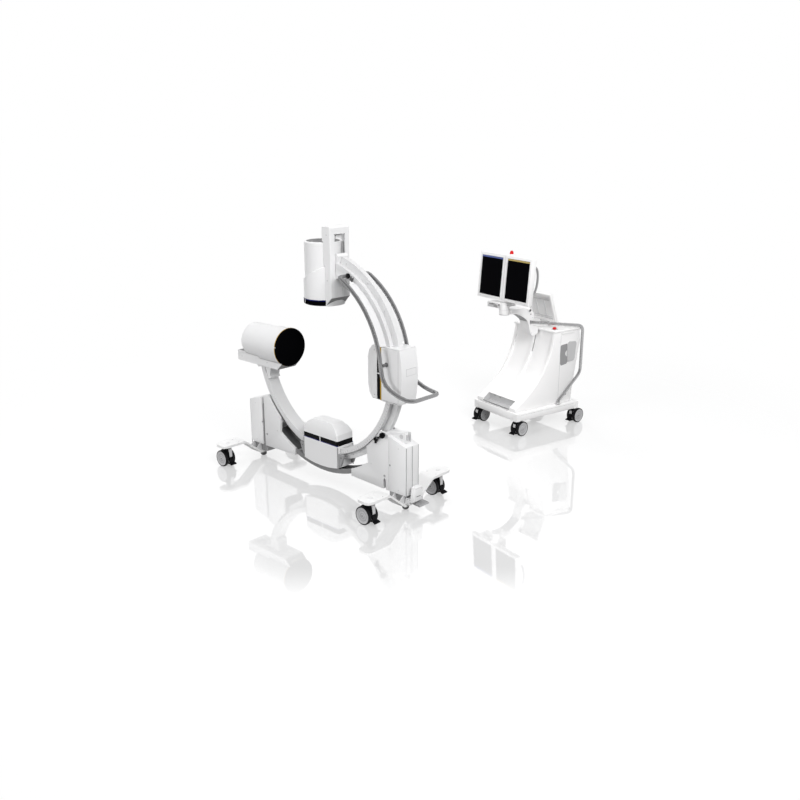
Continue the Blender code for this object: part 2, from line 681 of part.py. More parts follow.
# Casters: a fork with its stem, a pair of wheels on one axle, and a brake pedal
def caster(name, frame, x, y, heading, top):
    """Heading is the direction, in degrees from +X, in which the wheels trail behind the stem."""
    turn = radians(heading)
    along = Vector((cos(turn), sin(turn), 0))
    across = Vector((-sin(turn), cos(turn), 0))
    spot = Vector((x, y, 0))

    def place(s, a, z):
        return spot + along * s + across * a + Vector((0, 0, z))

    fork = [
        (-0.016, top - 0.016), (0.016, top - 0.016), (TRAIL + 0.030, min(0.122, top - 0.020)),
        (TRAIL + 0.050, 0.100),
        (TRAIL + 0.054, 0.082), (TRAIL + 0.020, 0.046), (TRAIL - 0.012, 0.043), (-0.031, 0.082),
        (-0.029, 0.112),
    ]
    bm = loft([[place(s, a, z) for s, z in fork] for a in (-FORK_HALF, FORK_HALF)])
    obj = finish(name + "_fork", bm, DARK, 0.5, frame, origin=place(0, 0, 0))
    neck = TWIN_IN - 2 * SEAT
    collar = max(top - 0.005, 2 * (WHEEL_R + SEAT))
    stem = [(top - 0.022, 0), (top - 0.022, neck), (collar, neck), (collar, 0.025)]
    stem += [(top - SEAT, 0.025), (top - SEAT, 0)]
    combine(obj, lathe(stem, 12, lambda z, a, b: place(a, b, z)), frame, "UNION")
    hole = AXLE_R + 1.5 * SEAT
    bore = [(-0.03, 0), (-0.03, hole), (0.03, hole), (0.03, 0)]
    combine(obj, lathe(bore, 12, lambda a, s, z: place(TRAIL + s, a, WHEEL_R + z)), frame)
    half = [
        (-TWIN_OUT + 0.004, 0), (-TWIN_OUT, 0.044), (-TWIN_OUT, WHEEL_R - 0.006),
        (-TWIN_OUT + 0.006, WHEEL_R), (-TWIN_IN, WHEEL_R), (-TWIN_IN, AXLE_R),
    ]
    profile = half + [(-a, r) for a, r in reversed(half)]
    bm = lathe(profile, WHEEL_SIDES, lambda a, s, z: place(TRAIL + s, a, WHEEL_R + z), on_flat=True)
    finish(name + "_wheels", bm, BLACK, 0.6, frame, origin=place(TRAIL, 0, WHEEL_R))
    rise, fall = Vector((-0.031, 0.082)), Vector((TRAIL - 0.012, 0.043))
    edge = (fall - rise).normalized()
    out = Vector((edge.y, -edge.x))
    pivot = rise + edge * 0.020 + out * (KNOB_R + SEAT)
    knob = [pivot + (out * cos(a) + edge * sin(a)) * KNOB_R for a in (pi * k / 5 for k in range(2, 9))]
    pad = [(p.x, p.y, 0.011) for p in knob]
    pad += [(-0.036, 0.048, 0.013), (-0.044, 0.042, 0.022), (-0.064, 0.033, 0.026), (-0.062, 0.026, 0.026)]
    pad += [(-0.040, 0.032, 0.022), (-0.030, 0.038, 0.013)]
    bm = loft([[place(s, sign * half_w, z) for s, z, half_w in pad] for sign in (-1, 1)])
    finish(name + "_brake", bm, BLACK, 0.5, frame, origin=place(pivot.x, 0, pivot.y))


stand_spots = (("stand_fl", -1, -1), ("stand_fr", 1, -1), ("stand_rl", -1, 1), ("stand_rr", 1, 1))
for name, sx, sy in stand_spots:
    caster(name, STAND, sx * LEG_X, sy * CASTER_Y, 180, LEG_HIGH)
cart_x = BASE_HALF - CASTER_IN_SIDE
cart_front, cart_rear = CASTER_IN_FRONT, BASE_LEN - CASTER_IN_REAR
cart_spots = (
    ("cart_fl", -cart_x, cart_front), ("cart_fr", cart_x, cart_front),
    ("cart_rl", -cart_x, cart_rear), ("cart_rr", cart_x, cart_rear),
)
for name, cx, cy in cart_spots:
    caster(name, CART, cx, cy, CART_HEADING, BASE_Z)

# Cart base and body
base = finish("cart_base", box(-BASE_HALF, BASE_HALF, 0, BASE_LEN, BASE_Z, BASE_TOP), WHITE, 0.4, CART)
soften(base, 0.008, 2)
BODY_LOW = BASE_TOP + SEAT
swoop = [
    (0.008, 0.232), (0.050, 0.258), (0.115, 0.300), (0.177, 0.352), (0.240, 0.412), (0.300, 0.488),
    (0.346, 0.572), (0.380, 0.658), (0.402, 0.742), (0.414, BODY_TOP),
]
rear = [(0.704, BODY_TOP), (0.712, 0.722), (0.654, 0.357), (0.636, BODY_LOW)]
side_view = [(0.008, BODY_LOW)] + swoop + rear
body = finish("cart_body", prism(side_view, -BODY_HALF, BODY_HALF, "YZ"), WHITE, 0.4, CART)
soften(body, 0.006, 2)
gutter = [(0.150, 0.328 + 0.014), (0.177 + 0.010, 0.352 - 0.010), (0.240 + 0.011, 0.412 - 0.010)]
gutter += [(0.300 + 0.013, 0.488 - 0.007), (0.346 + 0.014, 0.572 - 0.005), (0.380 + 0.014, 0.658 - 0.003)]
gutter += [(0.402 + 0.014, 0.742), (0.414 + 0.014, 0.882), (0.20, 0.882), (0.10, 0.402)]
for low, high in ((-0.218, -0.012), (0.012, 0.218)):
    combine(body, prism(gutter, low, high, "YZ"), CART)
tray = [(-0.02, 0.212), (0.085, 0.212), (0.085, 0.274), (0.030, 0.288), (-0.02, 0.288)]
combine(body, prism(tray, -0.168, 0.168, "YZ"), CART)

deck_low = BODY_TOP + SEAT
deck_top = deck_low + DECK_T
slab = box(-DECK_HALF, DECK_HALF, DECK_FRONT, DECK_REAR, deck_low, deck_top)
deck = finish("cart_deck", slab, WHITE, 0.35, CART)
soften(deck, 0.005, 2)
post = box(
    -POST_HALF, POST_HALF, PANEL_Y - 0.022, PANEL_Y + 0.022, deck_low + 0.004,
    PANEL_Z - PANEL_KNUCKLE + 0.001,
)
combine(deck, post, CART, "UNION")
pin_half = POST_HALF - 0.002
pin = [(-pin_half, 0), (-pin_half, PANEL_KNUCKLE), (pin_half, PANEL_KNUCKLE), (pin_half, 0)]
combine(deck, lathe(pin, 20, lambda x, a, b: (x, PANEL_Y + a, PANEL_Z + b)), CART, "UNION")

# Push handle: held in the arm's notch, over the deck to both rear corners and down to the base
bar_y = ARM_REST_Y + SEAT + HANDLE_R
half_path = [
    (0.0, bar_y, ARM_REST_Z), (0.066, bar_y, ARM_REST_Z), (HANDLE_X, HANDLE_REAR, 0.856),
    (HANDLE_X, HANDLE_REAR, 0.450), (HANDLE_X, 0.474, BASE_TOP + 0.036), (HANDLE_X, 0.474, BASE_TOP + SEAT),
]
right_half = rounded(half_path, 0.045, 4)
left_half = [Vector((-p.x, p.y, p.z)) for p in reversed(right_half[1:])]
finish("push_handle", tube(left_half + right_half, HANDLE_R, 10), GREY, 0.3, CART, metallic=0.8)

# Monitor arm, its swivel yoke, the twin monitor and the two screens
arm_outline = [
    (HUB_Y, 0.986), (0.150, 0.980), (0.197, 0.964), (0.232, 0.944), (0.263, 0.922), (0.281, 0.904),
    (0.294, 0.873), (0.303, 0.839), (0.314, 0.802), (0.338, 0.776), (0.362, 0.772), (0.392, 0.782),
    (DECK_FRONT - SEAT, 0.794), (DECK_FRONT - SEAT, deck_top + SEAT), (0.440, deck_top + SEAT),
    (0.436, 0.842), (0.396, 0.848), (0.353, 0.862), (0.330, 0.876),
    (ARM_REST_Y, ARM_REST_Z - HANDLE_R - 0.003), (ARM_REST_Y, ARM_REST_Z + HANDLE_R + 0.003),
    (0.336, 0.912), (0.348, 0.922), (0.346, 0.967),
    (0.330, 0.985), (0.262, 1.016), (0.230, HUB_SPLIT), (HUB_Y, HUB_SPLIT),
]
arm_obj = finish("monitor_arm", prism(arm_outline, -ARM_HALF, ARM_HALF, "YZ"), WHITE, 0.4, CART)
soften(arm_obj, 0.003, 1)
around_hub = box(-2 * ARM_HALF, 2 * ARM_HALF, HUB_Y - 0.1, HUB_Y + 0.030, HUB_SPLIT - 0.14, HUB_SPLIT + 0.06)
combine(arm_obj, around_hub, CART)
hub_low = HUB_SPLIT - 0.040
pillar = [(hub_low, 0), (hub_low, HUB_R - 0.004), (hub_low + 0.004, HUB_R), (HUB_SPLIT, HUB_R), (HUB_SPLIT, 0)]
combine(arm_obj, lathe(pillar, 24, lambda z, a, b: (a, HUB_Y + b, z)), CART, "UNION")
pivot_y = MONITOR_FRONT + MONITOR_T + SEAT + KNUCKLE_R
pivot_z = MONITOR_LOW + TILT_UP
hub = [(HUB_SPLIT + SEAT, 0), (HUB_SPLIT + SEAT, HUB_R), (HUB_TOP, HUB_R), (HUB_TOP, 0)]
yoke = finish(
    "monitor_yoke", lathe(hub, 24, lambda z, a, b: (a, HUB_Y + b, z)), WHITE, 0.4, CART,
    origin=(0, HUB_Y, HUB_SPLIT),
)
plate_y = pivot_y + 0.022
combine(yoke, box(-0.050, 0.050, HUB_Y, plate_y + 0.014, HUB_TOP - 0.016, HUB_TOP - 0.001), CART, "UNION")
combine(yoke, box(-0.050, 0.050, plate_y, plate_y + 0.015, HUB_TOP - 0.014, pivot_z + 0.020), CART, "UNION")
combine(yoke, box(-0.045, 0.045, pivot_y, plate_y + 0.004, pivot_z - 0.008, pivot_z + 0.008), CART, "UNION")
pin = [(-0.048, 0), (-0.048, KNUCKLE_R), (0.048, KNUCKLE_R), (0.048, 0)]
combine(yoke, lathe(pin, 20, lambda x, a, b: (x, pivot_y + a, pivot_z + b)), CART, "UNION")
combine(yoke, box(-0.150, -0.020, HUB_Y - 0.028, HUB_Y + 0.026, HUB_SPLIT + 0.004, HUB_TOP + 0.001), CART, "UNION")
combine(yoke, box(-0.136, -0.056, HUB_Y - 0.060, HUB_Y - 0.002, HUB_SPLIT + 0.010, HUB_TOP - 0.006), CART)
back_y = MONITOR_FRONT + MONITOR_T
mon = finish(
    "monitor",
    box(-MONITOR_HALF, MONITOR_HALF, MONITOR_FRONT, back_y, MONITOR_LOW, MONITOR_LOW + MONITOR_TALL),
    WHITE, 0.35, CART, origin=(0, pivot_y, pivot_z),
)
soften(mon, 0.005, 2)
low = MONITOR_LOW + (MONITOR_TALL - SCREEN_TALL) / 2
high = low + SCREEN_TALL
edge = MONITOR_HALF - SCREEN_RIM
gap = SCREEN_GAP / 2
screen_back = MONITOR_FRONT + SCREEN_IN + SCREEN_T
screens = []
for side, a, b in (("left", -edge, -gap), ("right", gap, edge)):
    combine(mon, box(a, b, MONITOR_FRONT - 0.02, screen_back + SEAT, low, high), CART)
    glass = box(a + SEAT, b - SEAT, MONITOR_FRONT + SCREEN_IN, screen_back, low + SEAT, high - SEAT)
    screens.append(finish(side + "_screen", glass, BLACK, 0.15, CART, origin=(0, pivot_y, pivot_z)))


def tilt_about(objects, y, z, angle):
    """Turns the objects and their helpers about a cart-wide axis."""
    spot = Matrix.Translation((0, y, z))
    turn = CART @ spot @ Matrix.Rotation(radians(angle), 4, "X") @ spot.inverted() @ CART.inverted()
    for item in objects:
        for each in [item] + [m.object for m in item.modifiers if m.type == "BOOLEAN"]:
            each.matrix_world = turn @ each.matrix_world


tilt_about([mon] + screens, pivot_y, pivot_z, MONITOR_TILT)

# Operator panel on its hinge, and the emergency stop
panel_low = PANEL_Z + PANEL_KNUCKLE + SEAT
panel_front = PANEL_Y - PANEL_T / 2
panel = finish(
    "operator_panel",
    box(-PANEL_HALF, PANEL_HALF, panel_front, panel_front + PANEL_T, panel_low, panel_low + PANEL_TALL),
    WHITE, 0.4, CART, origin=(0, PANEL_Y, PANEL_Z),
)
soften(panel, 0.004, 2)
recess = box(
    -PANEL_HALF + 0.022, PANEL_HALF - 0.022, panel_front - 0.02, panel_front + 0.010,
    panel_low + 0.028, panel_low + PANEL_TALL - 0.026,
)
combine(panel, recess, CART)
tilt_about([panel], PANEL_Y, PANEL_Z, PANEL_TILT)
bore = [(0.004, 0), (0.004, 0.0105), (0.030, 0.0105), (0.030, 0)]
combine(deck, lathe(bore, 16, lambda z, a, b: (STOP_X + a, STOP_Y + b, deck_low + z)), CART)
stop = [(-0.006, 0), (-0.006, 0.0098), (0.006, 0.0098), (0.007, 0.017)]
stop += [(0.013, 0.017), (0.019, 0.011), (0.020, 0)]
bm = lathe(stop, 16, lambda z, a, b: (STOP_X + a, STOP_Y + b, deck_top + z))
finish("emergency_stop", bm, (0.55, 0.01, 0.01), 0.35, CART, origin=(STOP_X, STOP_Y, deck_top))
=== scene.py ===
"""The surgical x-ray system as it looks: a G-arm stand and its monitor cart on a pale floor."""

import json
from math import acos, cos, pi, radians, sin

import bmesh
import bpy
from mathutils import Matrix, Vector


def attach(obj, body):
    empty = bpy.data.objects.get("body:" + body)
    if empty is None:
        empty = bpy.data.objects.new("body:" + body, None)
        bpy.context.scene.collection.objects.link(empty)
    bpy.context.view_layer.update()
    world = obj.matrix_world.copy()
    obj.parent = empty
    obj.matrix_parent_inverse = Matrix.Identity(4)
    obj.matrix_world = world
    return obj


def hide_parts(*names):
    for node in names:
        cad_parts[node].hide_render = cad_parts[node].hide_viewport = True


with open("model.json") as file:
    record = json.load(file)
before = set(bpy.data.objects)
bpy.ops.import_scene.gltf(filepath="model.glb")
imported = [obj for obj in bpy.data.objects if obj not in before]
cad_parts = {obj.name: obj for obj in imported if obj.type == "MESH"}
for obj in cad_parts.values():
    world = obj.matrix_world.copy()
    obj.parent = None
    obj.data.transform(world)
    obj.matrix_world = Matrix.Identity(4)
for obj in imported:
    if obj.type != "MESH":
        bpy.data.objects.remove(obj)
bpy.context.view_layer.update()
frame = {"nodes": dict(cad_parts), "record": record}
NODES = frame["nodes"]

# Where the two units stand, as in the part
STAND = Matrix.Translation((-0.0207, -1.0694, 0))
CART = Matrix.Translation((0.1673, 0.6606, 0)) @ Matrix.Rotation(radians(-12.5), 4, "Z")
RING_Z = 0.922
RING_HALF, WEB_HALF, BOLT_R = 0.050, 0.018, 0.7055
FLANGE_OUT, RAIL_MID = 0.688, 0.660
LINE_FIRST, LINE_LAST = 74.2, -164.2
BRACKET_FIRST, BRACKET_LAST = 59.6, 61.8
TUBE_HALF, TUBE_BAND_IN, TUBE_BAND_OUT = 0.077, 0.570, 0.608
COVER_FACE, COVER_OUT = 0.0620, 0.8112
LEG_X, CASTER_Y = 0.753, 0.331
WHEEL_R, TRAIL, TWIN_OUT, TWIN_IN, FORK_HALF = 0.0625, 0.034, 0.0425, 0.0185, 0.0165
BASE_HALF, BASE_LEN, BASE_Z, BASE_TOP = 0.270, 0.706, 0.130, 0.200
CASTER_IN_FRONT, CASTER_IN_REAR, CASTER_IN_SIDE = 0.030, 0.028, 0.028
CART_HEADING = 97.0
BODY_HALF, BODY_TOP, DECK_TOP = 0.245, 0.820, 0.8384
HUB_Y, HUB_SPLIT, HUB_TOP = 0.064, 1.022, 1.066
MONITOR_FRONT = 0.043
MONITOR_LOW, MONITOR_TALL, MONITOR_TILT = 1.089, 0.374, -4.5
SCREEN_GAP, SCREEN_EDGE, SCREEN_TALL = 0.027, 0.289, 0.322
PIVOT_Y, PIVOT_Z = 0.1034, 1.239
PANEL_Y, PANEL_Z, PANEL_TILT = 0.530, 0.874, 19.0
STOP_X, STOP_Y = 0.189, 0.459


def turned(y, z, angle):
    """The cart's frame, turned about a cart-wide axis."""
    spot = Matrix.Translation((0, y, z))
    return CART @ spot @ Matrix.Rotation(radians(angle), 4, "X") @ spot.inverted()


MONITOR = turned(PIVOT_Y, PIVOT_Z, MONITOR_TILT)
PANEL_AT = turned(PANEL_Y, PANEL_Z, PANEL_TILT)


# Node groups and materials
def new_material(name):
    mat = bpy.data.materials.new(name)
    mat.use_nodes = True
    return mat, mat.node_tree, mat.node_tree.nodes["Principled BSDF"]


def add_node(tree, kind, **values):
    node = tree.nodes.new(kind)
    for key, value in values.items():
        if hasattr(node, key):
            setattr(node, key, value)
        else:
            node.inputs[key.replace("_", " ")].default_value = value
    return node


def ramp(tree, source, low, high, a, b):
    """Maps a 0..1 value between two colours or greys."""
    node = tree.nodes.new("ShaderNodeValToRGB")
    node.color_ramp.elements[0].position = low
    node.color_ramp.elements[1].position = high
    node.color_ramp.elements[0].color = (*a, 1)
    node.color_ramp.elements[1].color = (*b, 1)
    tree.links.new(source, node.inputs[0])
    return node.outputs[0]


def surface(
    name, colour, rough=0.4, metallic=0.0, spread=0.03, rough_spread=0.08, grain=900.0, bump=0.02,
    cloud=3.0, coat=0.0, wear=0.0, wear_colour=None, stretch=(1, 1, 1), specular=0.5,
):
    """A moulded, painted or metal surface: cloudy tone, fine grain in gloss and relief, worn edges."""
    mat, tree, shader = new_material(name)
    link = tree.links.new
    where = add_node(tree, "ShaderNodeTexCoord")
    scale = add_node(tree, "ShaderNodeMapping")
    scale.inputs["Scale"].default_value = stretch
    link(where.outputs["Object"], scale.inputs["Vector"])
    soft = add_node(tree, "ShaderNodeTexNoise", Scale=cloud, Detail=5.0, Roughness=0.6)
    fine = add_node(tree, "ShaderNodeTexNoise", Scale=grain, Detail=2.0)
    mid = add_node(tree, "ShaderNodeTexNoise", Scale=cloud * 9, Detail=4.0)
    for node in (soft, fine, mid):
        link(scale.outputs[0], node.inputs["Vector"])
    lo = tuple(max(0.0, c * (1 - spread)) for c in colour)
    hi = tuple(min(1.0, c * (1 + spread)) for c in colour)
    tone = ramp(tree, soft.outputs["Fac"], 0.3, 0.7, lo, hi)
    if wear:
        edge = add_node(tree, "ShaderNodeNewGeometry")
        worn = ramp(tree, edge.outputs["Pointiness"], 0.52, 0.60, (0, 0, 0), (wear, wear, wear))
        patch = add_node(tree, "ShaderNodeMath", operation="MULTIPLY")
        link(worn, patch.inputs[0])
        link(mid.outputs["Fac"], patch.inputs[1])
        blend = add_node(tree, "ShaderNodeMix", data_type="RGBA")
        link(patch.outputs[0], blend.inputs[0])
        link(tone, blend.inputs[6])
        blend.inputs[7].default_value = (*(wear_colour or tuple(c * 0.7 for c in colour)), 1)
        tone = blend.outputs[2]
    link(tone, shader.inputs["Base Color"])
    low, high = max(0.02, rough - rough_spread), min(1.0, rough + rough_spread)
    link(ramp(tree, mid.outputs["Fac"], 0.3, 0.7, (low,) * 3, (high,) * 3), shader.inputs["Roughness"])
    relief = add_node(tree, "ShaderNodeBump", Strength=bump, Distance=0.001)
    link(fine.outputs["Fac"], relief.inputs["Height"])
    link(relief.outputs[0], shader.inputs["Normal"])
    shader.inputs["Metallic"].default_value = metallic
    shader.inputs["Specular IOR Level"].default_value = specular
    shader.inputs["Coat Weight"].default_value = coat
    shader.inputs["Coat Roughness"].default_value = 0.12
    return mat


COVER = surface(
    "cover_white", (0.76, 0.76, 0.765), 0.36, spread=0.012, rough_spread=0.04, grain=1400, bump=0.012,
    coat=0.12,
)
PANEL = surface("panel_white", (0.71, 0.71, 0.715), 0.44, spread=0.015, rough_spread=0.05, grain=1100)
CART_SHELL = surface(
    "cart_white", (0.93, 0.925, 0.925), 0.42, spread=0.012, rough_spread=0.04, grain=1200, bump=0.015,
    coat=0.08,
)
LEG = surface("leg_white", (0.80, 0.80, 0.80), 0.36, spread=0.02, wear=0.25, wear_colour=(0.6, 0.6, 0.6))
ANODISED = surface(
    "ring_aluminium", (0.68, 0.68, 0.685), 0.40, metallic=0.12, spread=0.02, grain=1800,
    bump=0.015,
)
MAST = surface(
    "mast_grey", (0.36, 0.36, 0.365), 0.45, metallic=0.3, spread=0.05, grain=800, bump=0.03,
    stretch=(1, 1, 0.05),
)
DARK = surface("cradle_dark", (0.20, 0.20, 0.203), 0.42, spread=0.08, bump=0.03)
RAIL = surface("rail_steel", (0.31, 0.31, 0.315), 0.24, metallic=0.95, spread=0.04, grain=1500, bump=0.002)
STEEL = surface("handle_steel", (0.47, 0.47, 0.475), 0.24, metallic=0.95, grain=1500, bump=0.002)
LIGHT = surface("light_grey_plastic", (0.55, 0.55, 0.555), 0.42, grain=1000, bump=0.03)
GREY = surface("grey_plastic", (0.30, 0.30, 0.305), 0.45, spread=0.04, grain=1000, bump=0.04)
SLATE = surface("slate_plastic", (0.11, 0.11, 0.113), 0.48, spread=0.06, grain=1000, bump=0.04)
BLACK = surface(
    "black_plastic", (0.006, 0.006, 0.007), 0.42, spread=0.15, grain=1000, bump=0.05,
    specular=0.06,
)
GLOSS = surface("gloss_black", (0.002, 0.002, 0.0025), 0.22, spread=0.1, grain=600, bump=0.01, specular=0.06)
FACE = surface("face_black", (0.002, 0.002, 0.0025), 0.5, spread=0.12, grain=2200, bump=0.06, specular=0.0)
TYRE = surface(
    "tyre_rubber", (0.007, 0.007, 0.008), 0.70, spread=0.18, grain=700, bump=0.15, wear=0.3,
    wear_colour=(0.03, 0.03, 0.03), specular=0.2,
)
HUB = surface("wheel_grey", (0.50, 0.50, 0.51), 0.42, spread=0.04, grain=1000, bump=0.03)
# Dark grey for the painted shade in the gusset's trough
SHADOW = surface("painted_shade_trough", (0.15, 0.15, 0.152), 0.6, spread=0.1, grain=800, bump=0.03, specular=0.2)
# Dark grey for the painted shade on the trays' down-facing noses
NOSE_SHADE = surface("nose_painted_shade", (0.16, 0.16, 0.162), 0.5, spread=0.04, bump=0.03)
# Near-white for painted light in the operator panel's shaded recess
PAINTED_LIGHT_WHITE = surface("painted_light_white", (0.97, 0.97, 0.97), 0.5, spread=0.01, bump=0.01)
PEDAL = surface("pedal_rubber", (0.34, 0.34, 0.345), 0.6, spread=0.06, grain=600, bump=0.12)
RED = surface("stop_red", (0.60, 0.002, 0.003), 0.34, spread=0.06, specular=0.3)
SCREEN = surface(
    "screen_glass", (0.0012, 0.0012, 0.0018), 0.16, spread=0.1, grain=400, bump=0.003,
    specular=0.01,
)
BLUE = surface("line_blue", (0.006, 0.010, 0.16), 0.35, spread=0.06, specular=0.2)
GOLD = surface("line_gold", (0.46, 0.27, 0.010), 0.38, spread=0.06, specular=0.25)
BAR_BLUE = surface("bar_blue", (0.075, 0.115, 0.36), 0.35, spread=0.08, grain=300, bump=0.01)
BAR_GOLD = surface("bar_gold", (0.55, 0.42, 0.13), 0.35, spread=0.08, grain=300, bump=0.01)

FINISH = {
    "tyre_black": TYRE, "caster_black": BLACK, "brake_black": BLACK, "leg_white": LEG,
    "mast_grey": MAST, "rail_steel": RAIL, "handle_steel": STEEL, "ring_aluminium": ANODISED,
    "gusset_white": PANEL, "cradle_dark": DARK, "band_black": GLOSS, "face_black": FACE,
    "screen_black": SCREEN, "stop_red": RED, "pedal_grey": PEDAL, "lever_black": GLOSS,
    "cart_white": CART_SHELL, "cover_white": COVER,
}
SLOT_OF = {s["node"]: s["material_slot"] for s in frame["record"]["subparts"]}
BEVEL = {"ring": 0.0015, "handrail": 0, "push_handle": 0, "left_leg": 0.004, "right_leg": 0.004}


def dress_node(node):
    """A CAD node keeps its shape and gets its finish and eased edges."""
    obj = NODES[node]
    mesh = obj.data
    mesh.materials.clear()
    mesh.materials.append(FINISH[SLOT_OF[node]])
    if mesh.attributes.get("custom_normal"):
        mesh.attributes.remove(mesh.attributes["custom_normal"])
    for face in mesh.polygons:
        face.use_smooth = True
        face.material_index = 0
    weld = obj.modifiers.new("weld", "WELD")
    weld.merge_threshold = 0.00002
    width = BEVEL.get(node, 0.0012)
    if width:
        ease = obj.modifiers.new("ease", "BEVEL")
        ease.width = width
        ease.segments = 2
        ease.limit_method = "ANGLE"
        ease.angle_limit = radians(30)
        ease.harden_normals = True


for node in NODES:
    dress_node(node)


# Solids for the scene's own pieces
def on_axis(axis, a, u, v):
    """A point that lies a along the axis, and u and v across it."""
    return {"Z": (u, v, a), "Y": (u, a, v), "X": (a, u, v)}[axis]


def span(side, near, far):
    """The two limits of a stretch on one side of the middle, the lower one first."""
    return sorted((side * near, side * far))


def ring_point(r, angle, y=0.0):
    """A point at a radius and an angle of the ring, y from its middle plane."""
    t = radians(angle)
    return (r * cos(t), y, RING_Z + r * sin(t))


class Shape:
    """Collects closed solids in one mesh, each with the index of its material."""

    def __init__(self, at=None):
        self.bm = bmesh.new()
        self.at = at or Matrix()

    def loops(self, loops, mat=0, ring=False, at=None):
        """Joins closed loops of points, capped at the ends or, for a ring, back to the first."""
        spot = self.at @ (at or Matrix())
        rows = [[self.bm.verts.new(spot @ Vector(p)) for p in loop] for loop in loops]
        faces = []
        count = len(rows[0])
        pairs = list(zip(rows, rows[1:])) + ([(rows[-1], rows[0])] if ring else [])
        for a, b in pairs:
            for i in range(count):
                j = (i + 1) % count
                faces.append(self.bm.faces.new((a[i], a[j], b[j], b[i])))
        if not ring:
            faces.append(self.bm.faces.new(rows[0]))
            faces.append(self.bm.faces.new(rows[-1]))
        for face in faces:
            face.material_index = mat
        return self

    def box(self, x0, x1, y0, y1, z0, z1, mat=0, at=None):
        loops = [[(x0, y0, z), (x1, y0, z), (x1, y1, z), (x0, y1, z)] for z in (z0, z1)]
        return self.loops(loops, mat, at=at)

    def prism(self, outline, lo, hi, plane="XZ", mat=0, at=None):
        """An outline in a plane, drawn out across it from lo to hi."""
        axis = {"XZ": "Y", "YZ": "X", "XY": "Z"}[plane]
        return self.loops([[on_axis(axis, w, u, v) for u, v in outline] for w in (lo, hi)], mat, at=at)

    def lathe(self, profile, sides=32, mat=0, axis="Z", centre=(0, 0, 0), at=None):
        """Profile points are (along the axis, radius)."""
        c = Vector(centre)
        loops = []
        for a, r in profile:
            r = max(r, 0.0001)
            loop = []
            for k in range(sides):
                t = 2 * pi * k / sides
                loop.append(c + Vector(on_axis(axis, a, r * cos(t), r * sin(t))))
            loops.append(loop)
        return self.loops(loops, mat, at=at)

    def hoop(self, inner, outer, lo, hi, sides=48, mat=0, axis="Z", centre=(0, 0, 0), at=None):
        """A flat ring."""
        section = ((lo, inner), (lo, outer), (hi, outer), (hi, inner))
        return self.torus(section, sides, mat, axis, centre, at)

    def torus(self, section, sides=56, mat=0, axis="Z", centre=(0, 0, 0), at=None):
        """A closed section of (along the axis, radius) points, swept round the axis."""
        c = Vector(centre)
        loops = []
        for k in range(sides):
            t = 2 * pi * k / sides
            loops.append([c + Vector(on_axis(axis, a, r * cos(t), r * sin(t))) for a, r in section])
        return self.loops(loops, mat, ring=True, at=at)

    def tube(self, path, radius, sides=12, mat=0, at=None):
        """A round bar along a path, with one radius or one for each point."""
        points = [Vector(p) for p in path]
        loops, side = [], None
        for i, p in enumerate(points):
            ahead = (points[min(i + 1, len(points) - 1)] - points[max(i - 1, 0)]).normalized()
            if side is None:
                side = ahead.orthogonal().normalized()
            side = (side - ahead * side.dot(ahead)).normalized()
            up = ahead.cross(side)
            r = radius[i] if isinstance(radius, (list, tuple)) else radius
            loops.append([
                p + (side * cos(t) + up * sin(t)) * r for t in (2 * pi * k / sides for k in range(sides))
            ])
        return self.loops(loops, mat, at=at)

    def sector(self, r0, r1, y0, y1, first, last, steps=24, mat=0):
        """A bent bar that follows the ring."""
        loops = []
        for k in range(steps + 1):
            angle = first + (last - first) * k / steps
            section = ((r0, y0), (r1, y0), (r1, y1), (r0, y1))
            loops.append([ring_point(r, angle, y) for r, y in section])
        return self.loops(loops, mat)

    def screw(self, place, normal, radius=0.005, mat=0):
        """A cap head with a hollow drive."""
        turn = Vector(normal).to_track_quat("Z", "Y").to_matrix().to_4x4()
        at = Matrix.Translation(place) @ turn
        r, h = radius, radius * 0.5
        rim = [(-0.0004, r), (h * 0.6, r), (h, r * 0.82), (h, r * 0.5)]
        rim += [(h * 0.45, r * 0.46), (h * 0.45, r * 0.05)]
        return self.lathe(rim, 16, mat, at=at)


def make(name, shape, mats, body, replaces=None, bevel=0.0, angle=32):
    """Turns a shape into a piece that rides on a body."""
    mesh = bpy.data.meshes.new(name)
    bmesh.ops.recalc_face_normals(shape.bm, faces=shape.bm.faces[:])
    shape.bm.to_mesh(mesh)
    shape.bm.free()
    for mat in mats:
        mesh.materials.append(mat)
    mesh.shade_smooth()
    mesh.set_sharp_from_angle(angle=radians(angle))
    obj = bpy.data.objects.new(name, mesh)
    bpy.context.scene.collection.objects.link(obj)
    if bevel:
        ease = obj.modifiers.new("ease", "BEVEL")
        ease.width = bevel
        ease.segments = 2
        ease.limit_method = "ANGLE"
        ease.angle_limit = radians(40)
        ease.harden_normals = True
    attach(obj, body)
    if replaces:
        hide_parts(replaces)
    return obj


